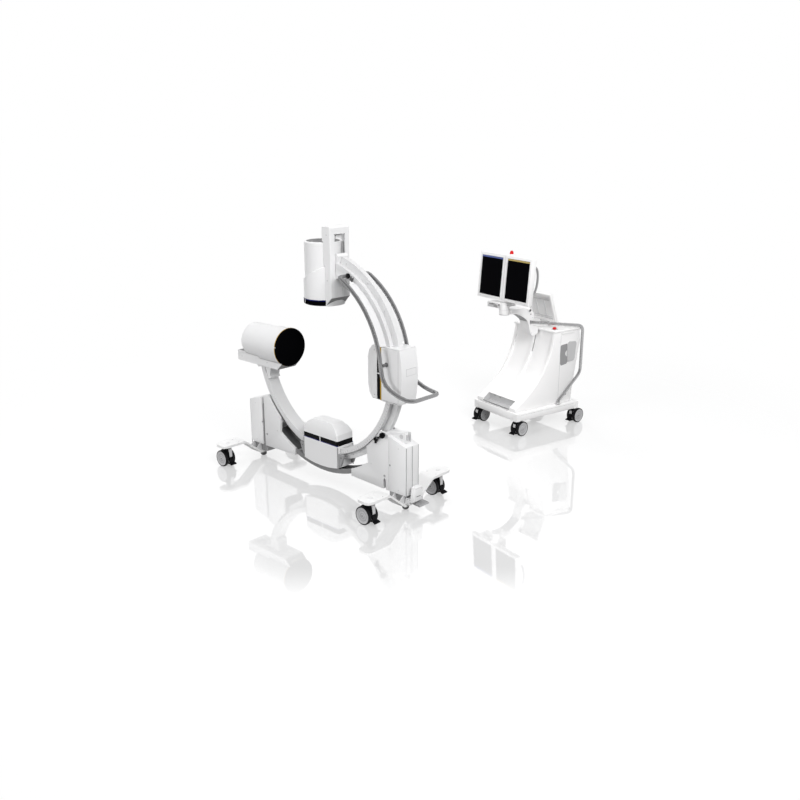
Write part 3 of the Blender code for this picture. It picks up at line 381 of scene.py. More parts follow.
# Casters: twin wheels with thin tyres and dished discs, and the trim on each fork
def wheel_half(shape, side):
    """One of the twin wheels: a tyre, a dished disc with two raised rings and ribs, and its cap."""
    def out(profile):
        return [(side * a, r) for a, r in profile]

    spot = {"axis": "Y", "centre": (TRAIL, 0, WHEEL_R)}
    tyre = [
        (0.0190, 0.0480), (TWIN_IN, 0.0500), (TWIN_IN, 0.0595), (0.0200, 0.0616), (0.0228, WHEEL_R),
        (0.0375, WHEEL_R), (0.0405, 0.0616), (TWIN_OUT, 0.0592), (TWIN_OUT, 0.0560), (0.0410, 0.0548),
        (0.0380, 0.0490),
    ]
    shape.torus(out(tyre), 56, 0, **spot)
    disc = [
        (0.0195, 0.012), (0.0195, 0.0530), (0.0400, 0.0546), (0.0416, 0.0542), (0.0420, 0.0510),
        (0.0404, 0.0490), (0.0392, 0.0420), (0.0385, 0.0300), (0.0388, 0.0250), (0.0402, 0.0240),
        (0.0402, 0.0222), (0.0392, 0.0214), (0.0398, 0.0150), (0.0418, 0.0135), (0.0424, 0.0095),
    ]
    shape.lathe(out(disc), 56, 1, **spot)
    outer = [(0.0380, 0.0330), (0.0396, 0.0330), (0.0398, 0.0350), (0.0388, 0.0362), (0.0380, 0.0362)]
    shape.torus(out(outer), 48, 3, **spot)
    inner = [(0.0392, 0.0152), (0.0404, 0.0152), (0.0404, 0.0182), (0.0392, 0.0182)]
    shape.torus(out(inner), 40, 3, **spot)
    shape.lathe(out([(0.0400, 0.0055), (0.04245, 0.0055), (0.0425, 0.0040)]), 20, 2, **spot)
    for k in range(8):
        t = 2 * pi * k / 8
        rib = Matrix.Translation((TRAIL, 0, WHEEL_R)) @ Matrix.Rotation(t, 4, "Y")
        lo, hi = span(side, 0.0382, 0.0396)
        shape.box(0.0262, 0.0460, lo, hi, -0.0011, 0.0011, 1, at=rib)


def caster_trim(name, unit, x, y, heading, top, light):
    """The wheels that replace a caster's plain ones, and what its fork and its brake carry."""
    spot = unit @ Matrix.Translation((x, y, 0)) @ Matrix.Rotation(radians(heading), 4, "Z")
    wheels = Shape(spot)
    for side in (-1, 1):
        wheel_half(wheels, side)
    wheels.lathe([(-0.0200, 0.006), (0.0200, 0.006)], 20, 2, axis="Y", centre=(TRAIL, 0, WHEEL_R))
    make(
        name + "_twin_wheels", wheels, [TYRE, HUB, SLATE, GREY], name + "_wheels",
        name + "_wheels",
    )
    trim = Shape(spot)
    face = [(-0.0292, 0.0790), (-0.0322, 0.0820), (-0.0306, top - 0.024), (-0.0240, top - 0.018)]
    face += [(-0.0200, top - 0.0175), (-0.0262, 0.110), (-0.0284, 0.100)]
    trim.prism(face, -0.0125, 0.0125, "XZ", 0)
    arch = []
    for k in range(9):
        t = radians(150 - 13 * k)
        arch.append((TRAIL + 0.0605 * cos(t), WHEEL_R + 0.0605 * sin(t)))
    inner = [(TRAIL + (x0 - TRAIL) * 0.93, WHEEL_R + (z0 - WHEEL_R) * 0.93) for x0, z0 in reversed(arch)]
    trim.prism(arch + inner, -FORK_HALF - 0.0012, FORK_HALF + 0.0012, "XZ", 1)
    for side in (-1, 1):
        trim.screw((-0.0316, side * 0.0075, 0.0860), (-1, 0, 0), 0.0022, 2)
    trim.lathe([(top - 0.0046, 0.0262), (top - 0.0030, 0.0268), (top - 0.0012, 0.0268)], 32, 2)
    make(name + "_trim", trim, [LIGHT, light, GREY], name + "_fork", bevel=0.0006)
    tread = Shape(spot)
    for k in range(4):
        s = -0.0465 - 0.0045 * k
        wide, z = 0.0185 + 0.0015 * k, 0.0415 - 0.0019 * k
        tread.box(s - 0.001, s + 0.001, -wide, wide, z, z + 0.0013)
    make(name + "_brake_tread", tread, [BLACK], name + "_brake")


for name, sx, sy in (("stand_fl", -1, -1), ("stand_fr", 1, -1), ("stand_rl", -1, 1), ("stand_rr", 1, 1)):
    caster_trim(name, STAND, sx * LEG_X, sy * CASTER_Y, 180, 0.165, BLACK)
for name, sx, y in (
    ("cart_fl", -1, CASTER_IN_FRONT), ("cart_fr", 1, CASTER_IN_FRONT),
    ("cart_rl", -1, BASE_LEN - CASTER_IN_REAR), ("cart_rr", 1, BASE_LEN - CASTER_IN_REAR),
):
    caster_trim(name, CART, sx * (BASE_HALF - CASTER_IN_SIDE), y, CART_HEADING, BASE_Z, SLATE)


# Ring: scale marks, a line of painted shade in the web's crease with pale lines, bolts at the ends, guard
# and bracket of the handrail
def on_ring(angle):
    return STAND @ Matrix.Translation((0, 0, RING_Z)) @ Matrix.Rotation(radians(-angle), 4, "Y")


marks = Shape()
for k in range(34):
    low = 0.662 if k % 5 == 0 else 0.672
    for side in (-1, 1):
        y0, y1 = span(side, 0.0496, 0.0503)
        marks.box(low, 0.684, y0, y1, -0.0009, 0.0009, 0, at=on_ring(-18 - 2 * k))
make("ring_marks", marks, [GREY], "ring_unit")

# On each side of the ring: a darker strip in the crease where web meets flange, painted shade of the gap
# there, and two pale lines, along the flange's edge and on the web
ring_lines = Shape(STAND)
for side in (-1, 1):
    y0, y1 = span(side, WEB_HALF - 0.0004, WEB_HALF + 0.0016)
    ring_lines.sector(FLANGE_OUT - 0.0004, FLANGE_OUT + 0.0016, y0, y1, LINE_FIRST, LINE_LAST, 96, 0)
    y0, y1 = span(side, RING_HALF - 0.0030, RING_HALF - 0.0018)
    ring_lines.sector(FLANGE_OUT - 0.0004, FLANGE_OUT + 0.0004, y0, y1, LINE_FIRST, LINE_LAST, 96, 1)
    y0, y1 = span(side, WEB_HALF - 0.0002, WEB_HALF + 0.0008)
    ring_lines.sector(0.7140, 0.7160, y0, y1, LINE_FIRST, LINE_LAST, 96, 1)
make("ring_crease_shade_and_pale_lines", ring_lines, [LIGHT, PANEL], "ring_unit", angle=50)

bolts = Shape(STAND)
for angle in (70, 52, 34, -34, -60, -118, -140, -160):
    for side in (-1, 1):
        bolts.screw(ring_point(BOLT_R, angle, side * WEB_HALF), (0, side, 0), 0.0048)
for angle in (-66.7, -113.3):
    for side in (-1, 1):
        bolts.screw(ring_point(BOLT_R, angle, side * WEB_HALF), (0, side, 0), 0.0075)
make("ring_bolts", bolts, [LIGHT], "ring_unit")

rail_parts = Shape(STAND)
# The bracket's bridge, its two cheeks with a screw and a knob, and the rail's pegs
rail_parts.sector(0.6458, 0.6490, -0.0560, 0.0560, BRACKET_FIRST, BRACKET_LAST, 4, 0)
for side in (-1, 1):
    y0, y1 = span(side, 0.0503, 0.0560)
    rail_parts.sector(0.6458, 0.6760, y0, y1, BRACKET_FIRST, BRACKET_LAST, 4, 0)
    rail_parts.screw(ring_point(0.676, 60.4, side * 0.0560), (0, side, 0), 0.0045, 1)
    spot = ring_point(RAIL_MID, 64.0)
    lo, hi = span(side, 0.0500, 0.0580)
    rail_parts.lathe([(lo, 0.0180), (hi, 0.0180)], 28, 2, "Y", spot)
    lo, hi = span(side, 0.0580, 0.0610)
    rail_parts.lathe([(lo, 0.0125), (hi, 0.0120)], 28, 1, "Y", spot)
    spot = ring_point(RAIL_MID, 6.0)
    lo, hi = span(side, 0.0768, 0.0800)
    rail_parts.lathe([(lo, 0.0150), (hi, 0.0140)], 24, 0, "Y", spot)
    lo, hi = span(side, 0.0800, 0.1180)
    rail_parts.lathe([(lo, 0.0092), (hi, 0.0092)], 20, 0, "Y", spot)
make("rail_brackets", rail_parts, [SLATE, LIGHT, BLACK], "ring_unit", bevel=0.0006)

guard = Shape(STAND)
for side in (-1, 1):
    y0, y1 = span(side, 0.0506, 0.1170)
    guard.sector(0.6530, 0.6560, y0, y1, 16.4, 57, 32)
make("rail_guards", guard, [PANEL], "ring_unit", angle=50)


# Housings: coloured lines and breaks of the bands, brackets, plates and screws
def placed_box(shape, place, across, wide, deep, mat):
    """A box in a housing's own terms, where place says where those lie."""
    corners = [(across[0], wide[0]), (across[1], wide[0]), (across[1], wide[1]), (across[0], wide[1])]
    shape.loops([[place(t, y, d) for t, y in corners] for d in deep], mat)


def wrap(shape, place, length, half, lo, hi, mat):
    """A thin strip round the four sides of a housing."""
    for side in (-1, 1):
        y0, y1 = span(side, half - 0.002, half + 0.0005)
        placed_box(shape, place, (-length, length), (y0, y1), (lo, hi), mat)
    for side in (-1, 1):
        t0, t1 = span(side, length - 0.002, length + 0.0005)
        placed_box(shape, place, (t0, t1), (-half, half), (lo, hi), mat)


def at_bottom(t, y, d):
    return (t, y, RING_Z - d)


def at_right(t, y, d):
    return (d, y, RING_Z + t)


for name, place, mat in (("lower_tube", at_bottom, BLUE), ("right_tube", at_right, GOLD)):
    lines = Shape(STAND)
    wide = 0.0045 if mat is BLUE else 0.0085
    edge = TUBE_BAND_OUT - 0.0004
    wrap(lines, place, 0.1765, TUBE_HALF - 0.0002, edge - wide, edge, 0)
    for side in (-1, 1):
        y0, y1 = span(side, 0.0765, 0.0779)
        deep = (TUBE_BAND_IN + 0.0002, TUBE_BAND_OUT)
        placed_box(lines, place, (-0.0035, 0.0035), (y0, y1), deep, 1)
    make(name + "_lines", lines, [mat, COVER], "ring_unit")

fittings = Shape(STAND)
for sx in (-1, 1):
    for sy in (-1, 1):
        y0, y1 = span(sy, 0.0508, 0.0680)
        wedge = [(0.1770, 0.166), (0.1960, 0.170), (0.2260, 0.246), (0.2260, 0.262), (0.1770, 0.262)]
        fittings.prism([(sx * x, z) for x, z in wedge], y0, y1, "XZ", 0)
        fittings.screw((sx * 0.2040, sy * 0.0680, 0.2380), (0, sy, 0), 0.0050, 1)
        fittings.screw((sx * 0.1600, sy * TUBE_HALF, 0.3780), (0, sy, 0), 0.0034, 2)
        x0, x1 = span(sx, 0.1758, 0.1786)
        y0, y1 = span(sy, 0.0700, 0.0774)
        fittings.box(x0, x1, y0, y1, 0.150, 0.3080, 0)
make("lower_housing_brackets", fittings, [GREY, SLATE, LIGHT], "ring_unit", bevel=0.0008)

lip = Shape(STAND)
for z in (RING_Z + 0.1782, RING_Z - 0.1812):
    edge = [(0.6120, -0.0760), (0.7600, -0.0790), (0.7680, -0.0770), (0.7680, 0.0770), (0.7600, 0.0790)]
    edge += [(0.6120, 0.0760)]
    lip.prism(edge, z, z + 0.003, "XY", 0)
for side in (-1, 1):
    y0, y1 = span(side, 0.0768, 0.0778)
    lip.box(0.7560, 0.7575, y0, y1, RING_Z - 0.170, RING_Z + 0.170, 1)
    lip.screw((0.5480, side * TUBE_HALF, RING_Z + 0.150), (0, side, 0), 0.0034, 1)
    lip.screw((0.5480, side * TUBE_HALF, RING_Z - 0.150), (0, side, 0), 0.0034, 1)
make("right_housing_lips", lip, [COVER, GREY], "ring_unit", bevel=0.0008)

plate = Shape(STAND)
frame_z, frame_y, x0 = 0.952, 0.012, 0.7862
for y0, y1, z0, z1 in (
    (-0.046, 0.046, 0.0215, 0.0235), (-0.046, 0.046, -0.0235, -0.0215),
    (-0.046, -0.0442, -0.0235, 0.0235), (0.0442, 0.046, -0.0235, 0.0235),
):
    plate.box(x0, 0.7888, frame_y + y0, frame_y + y1, frame_z + z0, frame_z + z1, 0)
plate.box(x0, 0.7882, frame_y - 0.045, frame_y + 0.045, frame_z - 0.0225, frame_z + 0.0225, 1)
make("right_housing_plate", plate, [LIGHT, COVER], "ring_unit")


# Intensifiers and trays
def at_top(h, y, d):
    return (h, y, RING_Z + d)


def at_left(h, y, d):
    return (-d, y, RING_Z - h)


def outward(place, h, y, d):
    """A direction in a unit's own terms."""
    return Vector(place(h, y, d)) - Vector(place(0, 0, 0))


def band_ring(shape, place, inner, outer, lo, hi, mat, first=0.0, last=360.0):
    """A thin collar round an intensifier, whole or part of the way."""
    steps = 96
    loops = []
    for k in range(steps + (last - first < 360)):
        t = radians(first + (last - first) * k / steps)
        section = ((inner, lo), (outer, lo), (outer, hi), (inner, hi))
        loops.append([place(r * cos(t), r * sin(t), d) for r, d in section])
    shape.loops(loops, mat, ring=last - first >= 360)


for name, place, mat in (("top", at_top, BLUE), ("left", at_left, GOLD)):
    trim = Shape(STAND)
    if name == "top":
        band_ring(trim, place, 0.1380, 0.14030, 0.4105, 0.4142, 0)
    else:
        band_ring(trim, place, 0.1385, 0.14085, 0.3900, 0.3945, 0)
        band_ring(trim, place, 0.1385, 0.14060, 0.3945, 0.4165, 1)
    turn = 250.0 if name == "top" else 262.0
    band_ring(trim, place, 0.1355, 0.1409, 0.3820, 0.4140, 1, turn - 1.2, turn + 1.2)
    band_ring(trim, place, 0.1270, 0.12825, 0.7700, 0.7712, 2)
    band_ring(trim, place, 0.1370, 0.13815, 0.4230, 0.4240, 2)
    cap = [(0.7944, 0.112), (0.7960, 0.112), (0.7966, 0.110), (0.7966, 0.060), (0.7958, 0.058)]
    cap_loops = []
    for d, r in cap:
        cap_loops.append([place(r * cos(t), r * sin(t), d) for t in (2 * pi * k / 48 for k in range(48))])
    trim.loops(cap_loops, 3)
    for k in range(6):
        t = 2 * pi * (k + 0.5) / 6
        spot = Vector(place(0.098 * cos(t), 0.098 * sin(t), 0.7964))
        trim.screw(spot, outward(place, 0, 0, 1), 0.0035, 2)
    make(name + "_intensifier_trim", trim, [mat, COVER, PANEL, SLATE], "ring_unit", angle=40)

    fit = Shape(STAND)
    for side in (-1, 1):
        for d in (0.548, 0.846):
            fit.screw(place(0.128, side * 0.0868, d), outward(place, 0, side, 0), 0.0032, 0)

    def slab(h0, h1, y0, y1, d0, d1, mat):
        placed_box(fit, place, (h0, h1), (y0, y1), (d0, d1), mat)

    # The frame and inner panels of the tray's lower window, then its slots and its vent
    for side in (-1, 1):
        slab(0.1625, 0.1640, *span(side, 0.0530, 0.0560), 0.4420, 0.5560, 1)
        slab(0.1625, 0.1634, *span(side, 0.0220, 0.0530), 0.4400, 0.5530, 2)
    slab(0.1625, 0.1640, -0.0560, 0.0560, 0.5530, 0.5560, 1)
    slab(0.1625, 0.1634, -0.0220, 0.0220, 0.5040, 0.5530, 2)
    slab(0.1575, 0.1590, -0.0480, 0.0480, 0.4440, 0.5520, 1)
    slab(0.1150, 0.1318, -0.0460, 0.0460, 0.8160, 0.8500, 1)
    for k in range(4):
        slab(0.1300, 0.1326, -0.0440, -0.0060, 0.8190 + 0.0080 * k, 0.8225 + 0.0080 * k, 3)
    for side in (-1, 1):
        slab(0.1560, 0.1634, *span(side, 0.0472, 0.0500), 0.7210, 0.8530, 1)
    slab(0.1560, 0.1634, -0.0500, 0.0500, 0.8502, 0.8530, 1)
    slab(0.1560, 0.1634, -0.0500, 0.0500, 0.7210, 0.7238, 1)
    run = Vector((0.055, 0.056)).normalized()

    def on_nose(along, y, proud):
        """A point on the slanted nose of the tray: along it from its thin edge, and out from it."""
        return place(0.108 + run.x * along + run.y * proud, y, 0.378 + run.y * along - run.x * proud)

    # A dark sheet on the tray's slanted nose: painted shade of its down-facing chamfer
    nose = [(0.0012, -0.0828), (0.0012, 0.0828), (0.0770, 0.0828), (0.0770, -0.0828)]
    fit.loops([[on_nose(a, y, proud) for a, y in nose] for proud in (-0.0004, 0.0007)], 4)
    make(name + "_tray_fittings", fit, [GREY, COVER, PANEL, SLATE, NOSE_SHADE], "ring_unit")
    if name == "top":
        # A thin lens over the band, only where it stands past the tray's nose
        shell = Shape(STAND)
        lens = []
        for step in range(13):
            d = 0.3738 + 0.0360 * step / 12
            half = acos(min(0.9995, (0.1070 + max(0.0, d - 0.3780) * 0.982) / 0.1402))
            turns = [half * (k / 8 - 1) for k in range(17)]
            section = [(0.1416, t) for t in turns] + [(0.1396, t) for t in reversed(turns)]
            lens.append([place(r * cos(t), r * sin(t), d) for r, t in section])
        shell.loops(lens, 0)
        make("top_band_guard", shell, [COVER], "ring_unit", angle=50)


# Columns: screws, seams, grey strips of painted shade and small fittings that rise with the covers
column = Shape(STAND)
for sx in (-1, 1):
    for sy in (-1, 1):
        face = sy * COVER_FACE
        column.screw((sx * 0.7450, face, 0.4400), (0, sy, 0), 0.0036, 0)
        column.screw((sx * 0.4940, face, 0.2750), (0, sy, 0), 0.0040, 0)
        column.screw((sx * 0.3120, face, 0.1600), (0, sy, 0), 0.0036, 0)
        column.screw((sx * 0.7450, face, 0.1500), (0, sy, 0), 0.0036, 0)
        y0, y1 = span(sy, COVER_FACE - 0.001, COVER_FACE + 0.0007)
        column.lathe([(y0, 0.0070), (y1, 0.0066)], 24, 1, "Y", (sx * 0.6680, 0, 0.3060))
        column.lathe([(y0, 0.0090), (y1, 0.0085)], 24, 1, "Y", (sx * 0.6180, 0, 0.2180))
        x0, x1 = span(sx, COVER_OUT, COVER_OUT + 0.0014)
        y0, y1 = span(sy, 0.0548, 0.0566)
        column.box(x0, x1, y0, y1, 0.1260, 0.4560, 0)
    # Grey strips on the cover's outer face: painted shade of the gap at its two corners and of a groove in
    # its middle
    x0, x1 = span(sx, COVER_OUT, COVER_OUT + 0.0012)
    for y0, y1 in ((-0.0610, -0.0565), (-0.0030, 0.0030), (0.0565, 0.0610)):
        column.box(x0, x1, y0, y1, 0.1030, 0.4580, 1)
make("column_fittings", column, [LIGHT, GREY], "lift_frame")

# Painted shade in the left gusset's trough: dark sheets laid in it, clear of the way of the lower housing
troughs = Shape(STAND)
troughs.sector(0.8205, 0.8235, -0.0436, 0.0436, -112.4, -128.4, 12, 0)
troughs.sector(0.7370, 0.7900, 0.0424, 0.0438, -118.0, -128.4, 8, 0)
troughs.sector(0.7900, 0.8205, 0.0424, 0.0438, -112.4, -128.4, 12, 0)
make("trough_painted_shade", troughs, [SHADOW], "lift_frame", angle=50)

lever_base = Shape(STAND)
lever_base.lathe([(-0.0626, 0.0190), (-0.0618, 0.0190)], 32, 0, "Y", (0.545, 0, 0.462))
lever_base.box(0.5410, 0.5490, -0.0760, -0.0628, 0.4340, 0.4500, 1)
lever_base.lathe([(-0.0310, 0.0160), (-0.0296, 0.0160), (-0.0290, 0.0115)], 28, 2, "Y", (0.742, 0, 0.515))
lever_base.box(0.7510, 0.7524, -0.0150, 0.0150, 0.4800, 0.5180, 1)
make("lever_base", lever_base, [GREY, BLACK, LIGHT], "lift_frame", bevel=0.0006)

collars = Shape(STAND)
rod_turn = Vector((0.074, -0.015, 0.046)).to_track_quat("Z", "Y").to_matrix().to_4x4()
rod_at = Matrix.Translation((0.545, -0.071, 0.462)) @ rod_turn
for k, r in enumerate((0.0085, 0.0078)):
    collars.hoop(0.0056, r, 0.024 + 0.009 * k, 0.028 + 0.009 * k, 24, 0, at=rod_at)
make("lever_collars", collars, [SLATE], "brake_lever")


# Legs: pads over the casters, ribs at the mast's foot, ball feet, and the pedal's fittings
legs = Shape(STAND)
pad = [(0.1826, 0.0180), (0.1838, 0.0180), (0.1844, 0.0170), (0.1844, 0.0075), (0.1836, 0.0070)]
for sx in (-1, 1):
    for sy in (-1, 1):
        legs.lathe(pad, 36, 0, centre=(sx * LEG_X, sy * CASTER_Y, 0))
        rib = [(sy * y, z) for y, z in (
            (0.0460, 0.0668), (0.0600, 0.0668), (0.0720, 0.0703), (0.0840, 0.0810), (0.0990, 0.0930),
            (0.0660, 0.1205), (0.0460, 0.1205))]
        for x in (0.7080, 0.7840):
            a0, a1 = span(sx, x, x + 0.008)
            legs.prism(rib, a0, a1, "YZ", 1)
        for x in (0.7130, 0.7930):
            legs.screw((sx * x, sy * 0.2600, 0.1826), (0, 0, 1), 0.0042, 1)
make("leg_fittings", legs, [PANEL, LIGHT], "stand", bevel=0.0005)

feet = Shape(STAND)
ball = [
    (0.0011, 0.0100), (0.0011, 0.0126), (0.0070, 0.0206), (0.0130, 0.0236), (0.0256, 0.0236),
    (0.0328, 0.0188), (0.0352, 0.0142),
]
for sx in (-1, 1):
    feet.lathe(ball, 40, 0, centre=(sx * LEG_X, 0, 0))
    feet.lathe(
        [(0.0370, 0.0150), (0.0382, 0.0205), (0.0420, 0.0215), (0.0478, 0.0215)], 36, 1,
        centre=(sx * LEG_X, 0, 0),
    )
make("ball_feet", feet, [SLATE, LIGHT], "stand", angle=50)

pedal = Shape(STAND)
pedal.box(0.8735, 0.8745, -0.0260, 0.0120, 0.1270, 0.1320, 0)
pedal.box(0.8735, 0.8744, -0.0380, 0.0300, 0.1840, 0.1850, 1)
for z in (0.1160, 0.1780):
    pedal.screw((0.8738, 0.0240, z), (1, 0, 0), 0.0030, 1)
make("pedal_box_fittings", pedal, [SLATE, GREY], "stand")

tread = Shape(STAND)
for k in range(5):
    x = 0.8620 + 0.0070 * k
    z = 0.0772 - (x - 0.8456) * 0.118
    tread.box(x, x + 0.0032, -0.0190, 0.0670, z - 0.0010, z + 0.0012, 0)
make("pedal_tread", tread, [GREY], "foot_pedal")


# Cart base and body
base = Shape(CART)
for sx in (-1, 1):
    for y, s in ((0.0, 1), (BASE_LEN, -1)):
        outline = [(sx * (BASE_HALF + 0.0012), y - s * 0.0012), (sx * (BASE_HALF + 0.0012), y + s * 0.042)]
        outline += [(sx * (BASE_HALF - 0.003), y + s * 0.042), (sx * (BASE_HALF - 0.003), y + s * 0.003)]
        outline += [(sx * (BASE_HALF - 0.042), y + s * 0.003), (sx * (BASE_HALF - 0.042), y - s * 0.0012)]
        base.prism(outline, BASE_Z + 0.001, BASE_TOP - 0.004, "XY", 0)
    x0, x1 = span(sx, BASE_HALF - 0.0005, BASE_HALF + 0.0008)
    base.box(x0, x1, 0.050, 0.656, BASE_Z + 0.0500, BASE_Z + 0.0512, 1)
    x0, x1 = span(sx, 0.2480, 0.2685)
    base.box(x0, x1, 0.4500, 0.4980, BASE_TOP + 0.0002, BASE_TOP + 0.0050, 2)
    for y in (0.4560, 0.4920):
        base.screw((sx * 0.2540, y, BASE_TOP + 0.0050), (0, 0, 1), 0.0028, 1)
make("cart_base_trim", base, [CART_SHELL, GREY, LIGHT], "cart", bevel=0.0006)

# The front tray: its grey lining, and a white lip along its back
liner = Shape(CART)
liner.box(-0.1660, 0.1660, 0.0832, 0.0849, 0.2125, 0.2730, 0)
liner.box(-0.1660, 0.1660, 0.0030, 0.0849, 0.2122, 0.2138, 0)
for side in (-1, 1):
    x0, x1 = span(side, 0.1662, 0.1679)
    cheek = [(0.006, 0.2125), (0.0849, 0.2125), (0.0849, 0.2730), (0.0550, 0.2600), (0.030, 0.2420)]
    liner.prism(cheek, x0, x1, "YZ", 0)
liner.box(-0.1150, -0.0900, 0.0826, 0.0834, 0.2560, 0.2590, 1)
liner.screw((-0.0350, 0.0832, 0.2540), (0, -1, 0), 0.0045, 1)
liner.box(-0.1640, 0.1640, 0.0030, 0.0090, 0.2138, 0.2175, 1)
make("cart_tray_liner", liner, [LIGHT, SLATE], "cart")

lid = Shape(CART)
lid.prism([(0.0690, 0.2740), (0.0740, 0.2705), (0.1080, 0.2945), (0.1040, 0.3015)], -0.1720, 0.1720, "YZ", 0)
make("cart_tray_lid", lid, [CART_SHELL], "cart", bevel=0.0015)

body = Shape(CART)
for side in (-1, 1):
    x0, x1 = span(side, BODY_HALF - 0.0006, BODY_HALF + 0.0007)
    body.box(x0, x1, 0.4845, 0.4861, BASE_TOP + 0.003, BODY_TOP - 0.003, 0)
    x0, x1 = span(side, BODY_HALF - 0.0010, BODY_HALF + 0.0062)
    body.box(x0, x1, 0.4900, 0.6400, 0.8020, 0.8160, 1)
    for y, z in ((0.470, 0.300), (0.470, 0.740), (0.630, 0.300), (0.680, 0.740)):
        body.screw((side * BODY_HALF, y, z), (side, 0, 0), 0.0030, 2)
# Grey strips on both sides of the front's middle rib: painted shade beside it
rib_line = [(0.372, 0.628), (0.398, 0.722), (0.411, 0.812)]
rib_shade = [(y + 0.006, z) for y, z in rib_line] + [(y + 0.022, z - 0.003) for y, z in reversed(rib_line)]
body.prism(rib_shade, 0.0100, 0.0160, "YZ", 0)
body.prism(rib_shade, -0.0160, -0.0100, "YZ", 0)
make("cart_body_trim", body, [GREY, CART_SHELL, LIGHT], "cart", bevel=0.0005)

hooks = Shape(CART)
dark = [(0.4860, 0.7000), (0.4940, 0.7100), (0.5580, 0.7160), (0.5720, 0.7020), (0.5720, 0.6640)]
for k in range(9):
    t = radians(80 + 22.5 * k)
    dark.append((0.5720 + 0.030 * cos(t), 0.6330 + 0.030 * sin(t)))
dark += [(0.5720, 0.6000), (0.5720, 0.5600), (0.5600, 0.5420), (0.5000, 0.5340), (0.4880, 0.5480)]
hooks.prism(dark, BODY_HALF - 0.0004, BODY_HALF + 0.0030, "YZ", 0)
pale = [(0.5560, 0.7100), (0.5800, 0.7330), (0.6480, 0.7280), (0.6620, 0.7100), (0.6480, 0.5780)]
pale += [(0.6340, 0.5620), (0.5760, 0.5590), (0.5640, 0.5700)]
hooks.prism(pale, BODY_HALF + 0.0032, BODY_HALF + 0.0090, "YZ", 1)
make("cart_side_hooks", hooks, [GREY, LIGHT], "cart", bevel=0.0012)

back = Shape(CART)


def rear_y(z):
    """Where the body's back is at a height."""
    if z > 0.722:
        return 0.712 - (z - 0.722) / 0.098 * 0.008
    if z > 0.357:
        return 0.654 + (z - 0.357) / 0.365 * 0.058
    return 0.636 + (z - 0.2004) / 0.1566 * 0.018


def rear_slab(x0, x1, z0, z1, proud, mat):
    """A flat panel on the slanted back."""
    y0, y1 = rear_y(z0), rear_y(z1)
    loops = []
    for x in (x0, x1):
        loops.append([(x, y0 - 0.002, z0), (x, y1 - 0.002, z1), (x, y1 + proud, z1), (x, y0 + proud, z0)])
    back.loops(loops, mat)


rear_slab(-0.215, 0.215, 0.380, 0.700, 0.0020, 0)
rear_slab(-0.190, 0.190, 0.225, 0.345, 0.0020, 0)
for k in range(11):
    z = 0.420 + 0.014 * k
    rear_slab(-0.140, 0.140, z, z + 0.005, 0.0034, 1)
for k in range(4):
    x = -0.150 + 0.075 * k
    rear_slab(x, x + 0.050, 0.262, 0.312, 0.0040, 2)
    rear_slab(x + 0.014, x + 0.036, 0.276, 0.298, 0.0050, 1)
rear_slab(-0.060, 0.060, 0.640, 0.655, 0.0050, 2)
make("cart_back_panels", back, [CART_SHELL, SLATE, LIGHT], "cart", bevel=0.0004)

deck = Shape(CART)
deck.hoop(0.0180, 0.0262, DECK_TOP - 0.0004, DECK_TOP + 0.0022, 40, 0, centre=(STOP_X, STOP_Y, 0))
for side in (-1, 1):
    for y in (0.425, 0.705):
        deck.screw((side * 0.228, y, DECK_TOP), (0, 0, 1), 0.0032, 0)
    x0, x1 = span(side, 0.0425, 0.0465)
    deck.lathe([(x0, 0.0125), (x1, 0.0118)], 28, 0, "X", (0, PANEL_Y, PANEL_Z))
deck.box(-0.205, 0.150, 0.585, 0.702, DECK_TOP - 0.0004, DECK_TOP + 0.0012, 1)
make("cart_deck_trim", deck, [LIGHT, CART_SHELL], "cart", bevel=0.0005)

fixings = Shape(CART)
ring_points = []
for k in range(25):
    t = 2 * pi * k / 24
    ring_points.append((0.2820, 0.5300 + 0.0110 * cos(t), 0.2900 + 0.0110 * sin(t)))
fixings.tube(ring_points, 0.0024, 10, 0)
for side in (-1, 1):
    centre = (side * 0.266, 0.474, 0)
    foot = [(0.0050, 0.0170), (0.0130, 0.0165), (0.0150, 0.0145)]
    fixings.lathe([(BASE_TOP + z, r) for z, r in foot], 28, 1, centre=centre)
make("push_handle_fittings", fixings, [STEEL, LIGHT], "cart", angle=50)


# Monitor arm, monitor and operator panel
arm = Shape(CART)
collar = [(-0.0440, 0.0400), (-0.0440, 0.0415), (-0.0404, 0.0425), (-0.0380, 0.0425)]
arm.lathe([(HUB_SPLIT + z, r) for z, r in collar], 44, 1, centre=(0, HUB_Y, 0))
arm.lathe([(HUB_SPLIT - 0.0012, 0.0428), (HUB_SPLIT - 0.0002, 0.0428)], 44, 1, centre=(0, HUB_Y, 0))
lever = [(0.050, 0.300, 0.992), (0.058, 0.296, 0.994), (0.072, 0.286, 1.000), (0.084, 0.276, 1.006)]
arm.tube(lever, [0.0055, 0.0055, 0.0050, 0.0060], 12, 0)
arm.lathe([(0.0516, 0.0120), (0.0560, 0.0115), (0.0572, 0.0100)], 24, 1, "X", (0, 0.300, 0.992))
arm.lathe([(0.0516, 0.0060), (0.0545, 0.0056)], 20, 2, "X", (0, 0.312, 0.962))
for side in (-1, 1):
    arm.screw((side * 0.0520, 0.330, 0.930), (side, 0, 0), 0.0036, 1)
    arm.screw((side * 0.0520, 0.330, 0.800), (side, 0, 0), 0.0036, 1)
under = [(0.150, 0.9796), (0.197, 0.9636), (0.232, 0.9436), (0.263, 0.9216), (0.281, 0.9036)]
strip = under + [(y - 0.0006, z - 0.0022) for y, z in reversed(under)]
arm.prism(strip, -0.046, 0.046, "YZ", 2)
make("monitor_arm_fittings", arm, [BLACK, LIGHT, GREY], "cart", bevel=0.0004)

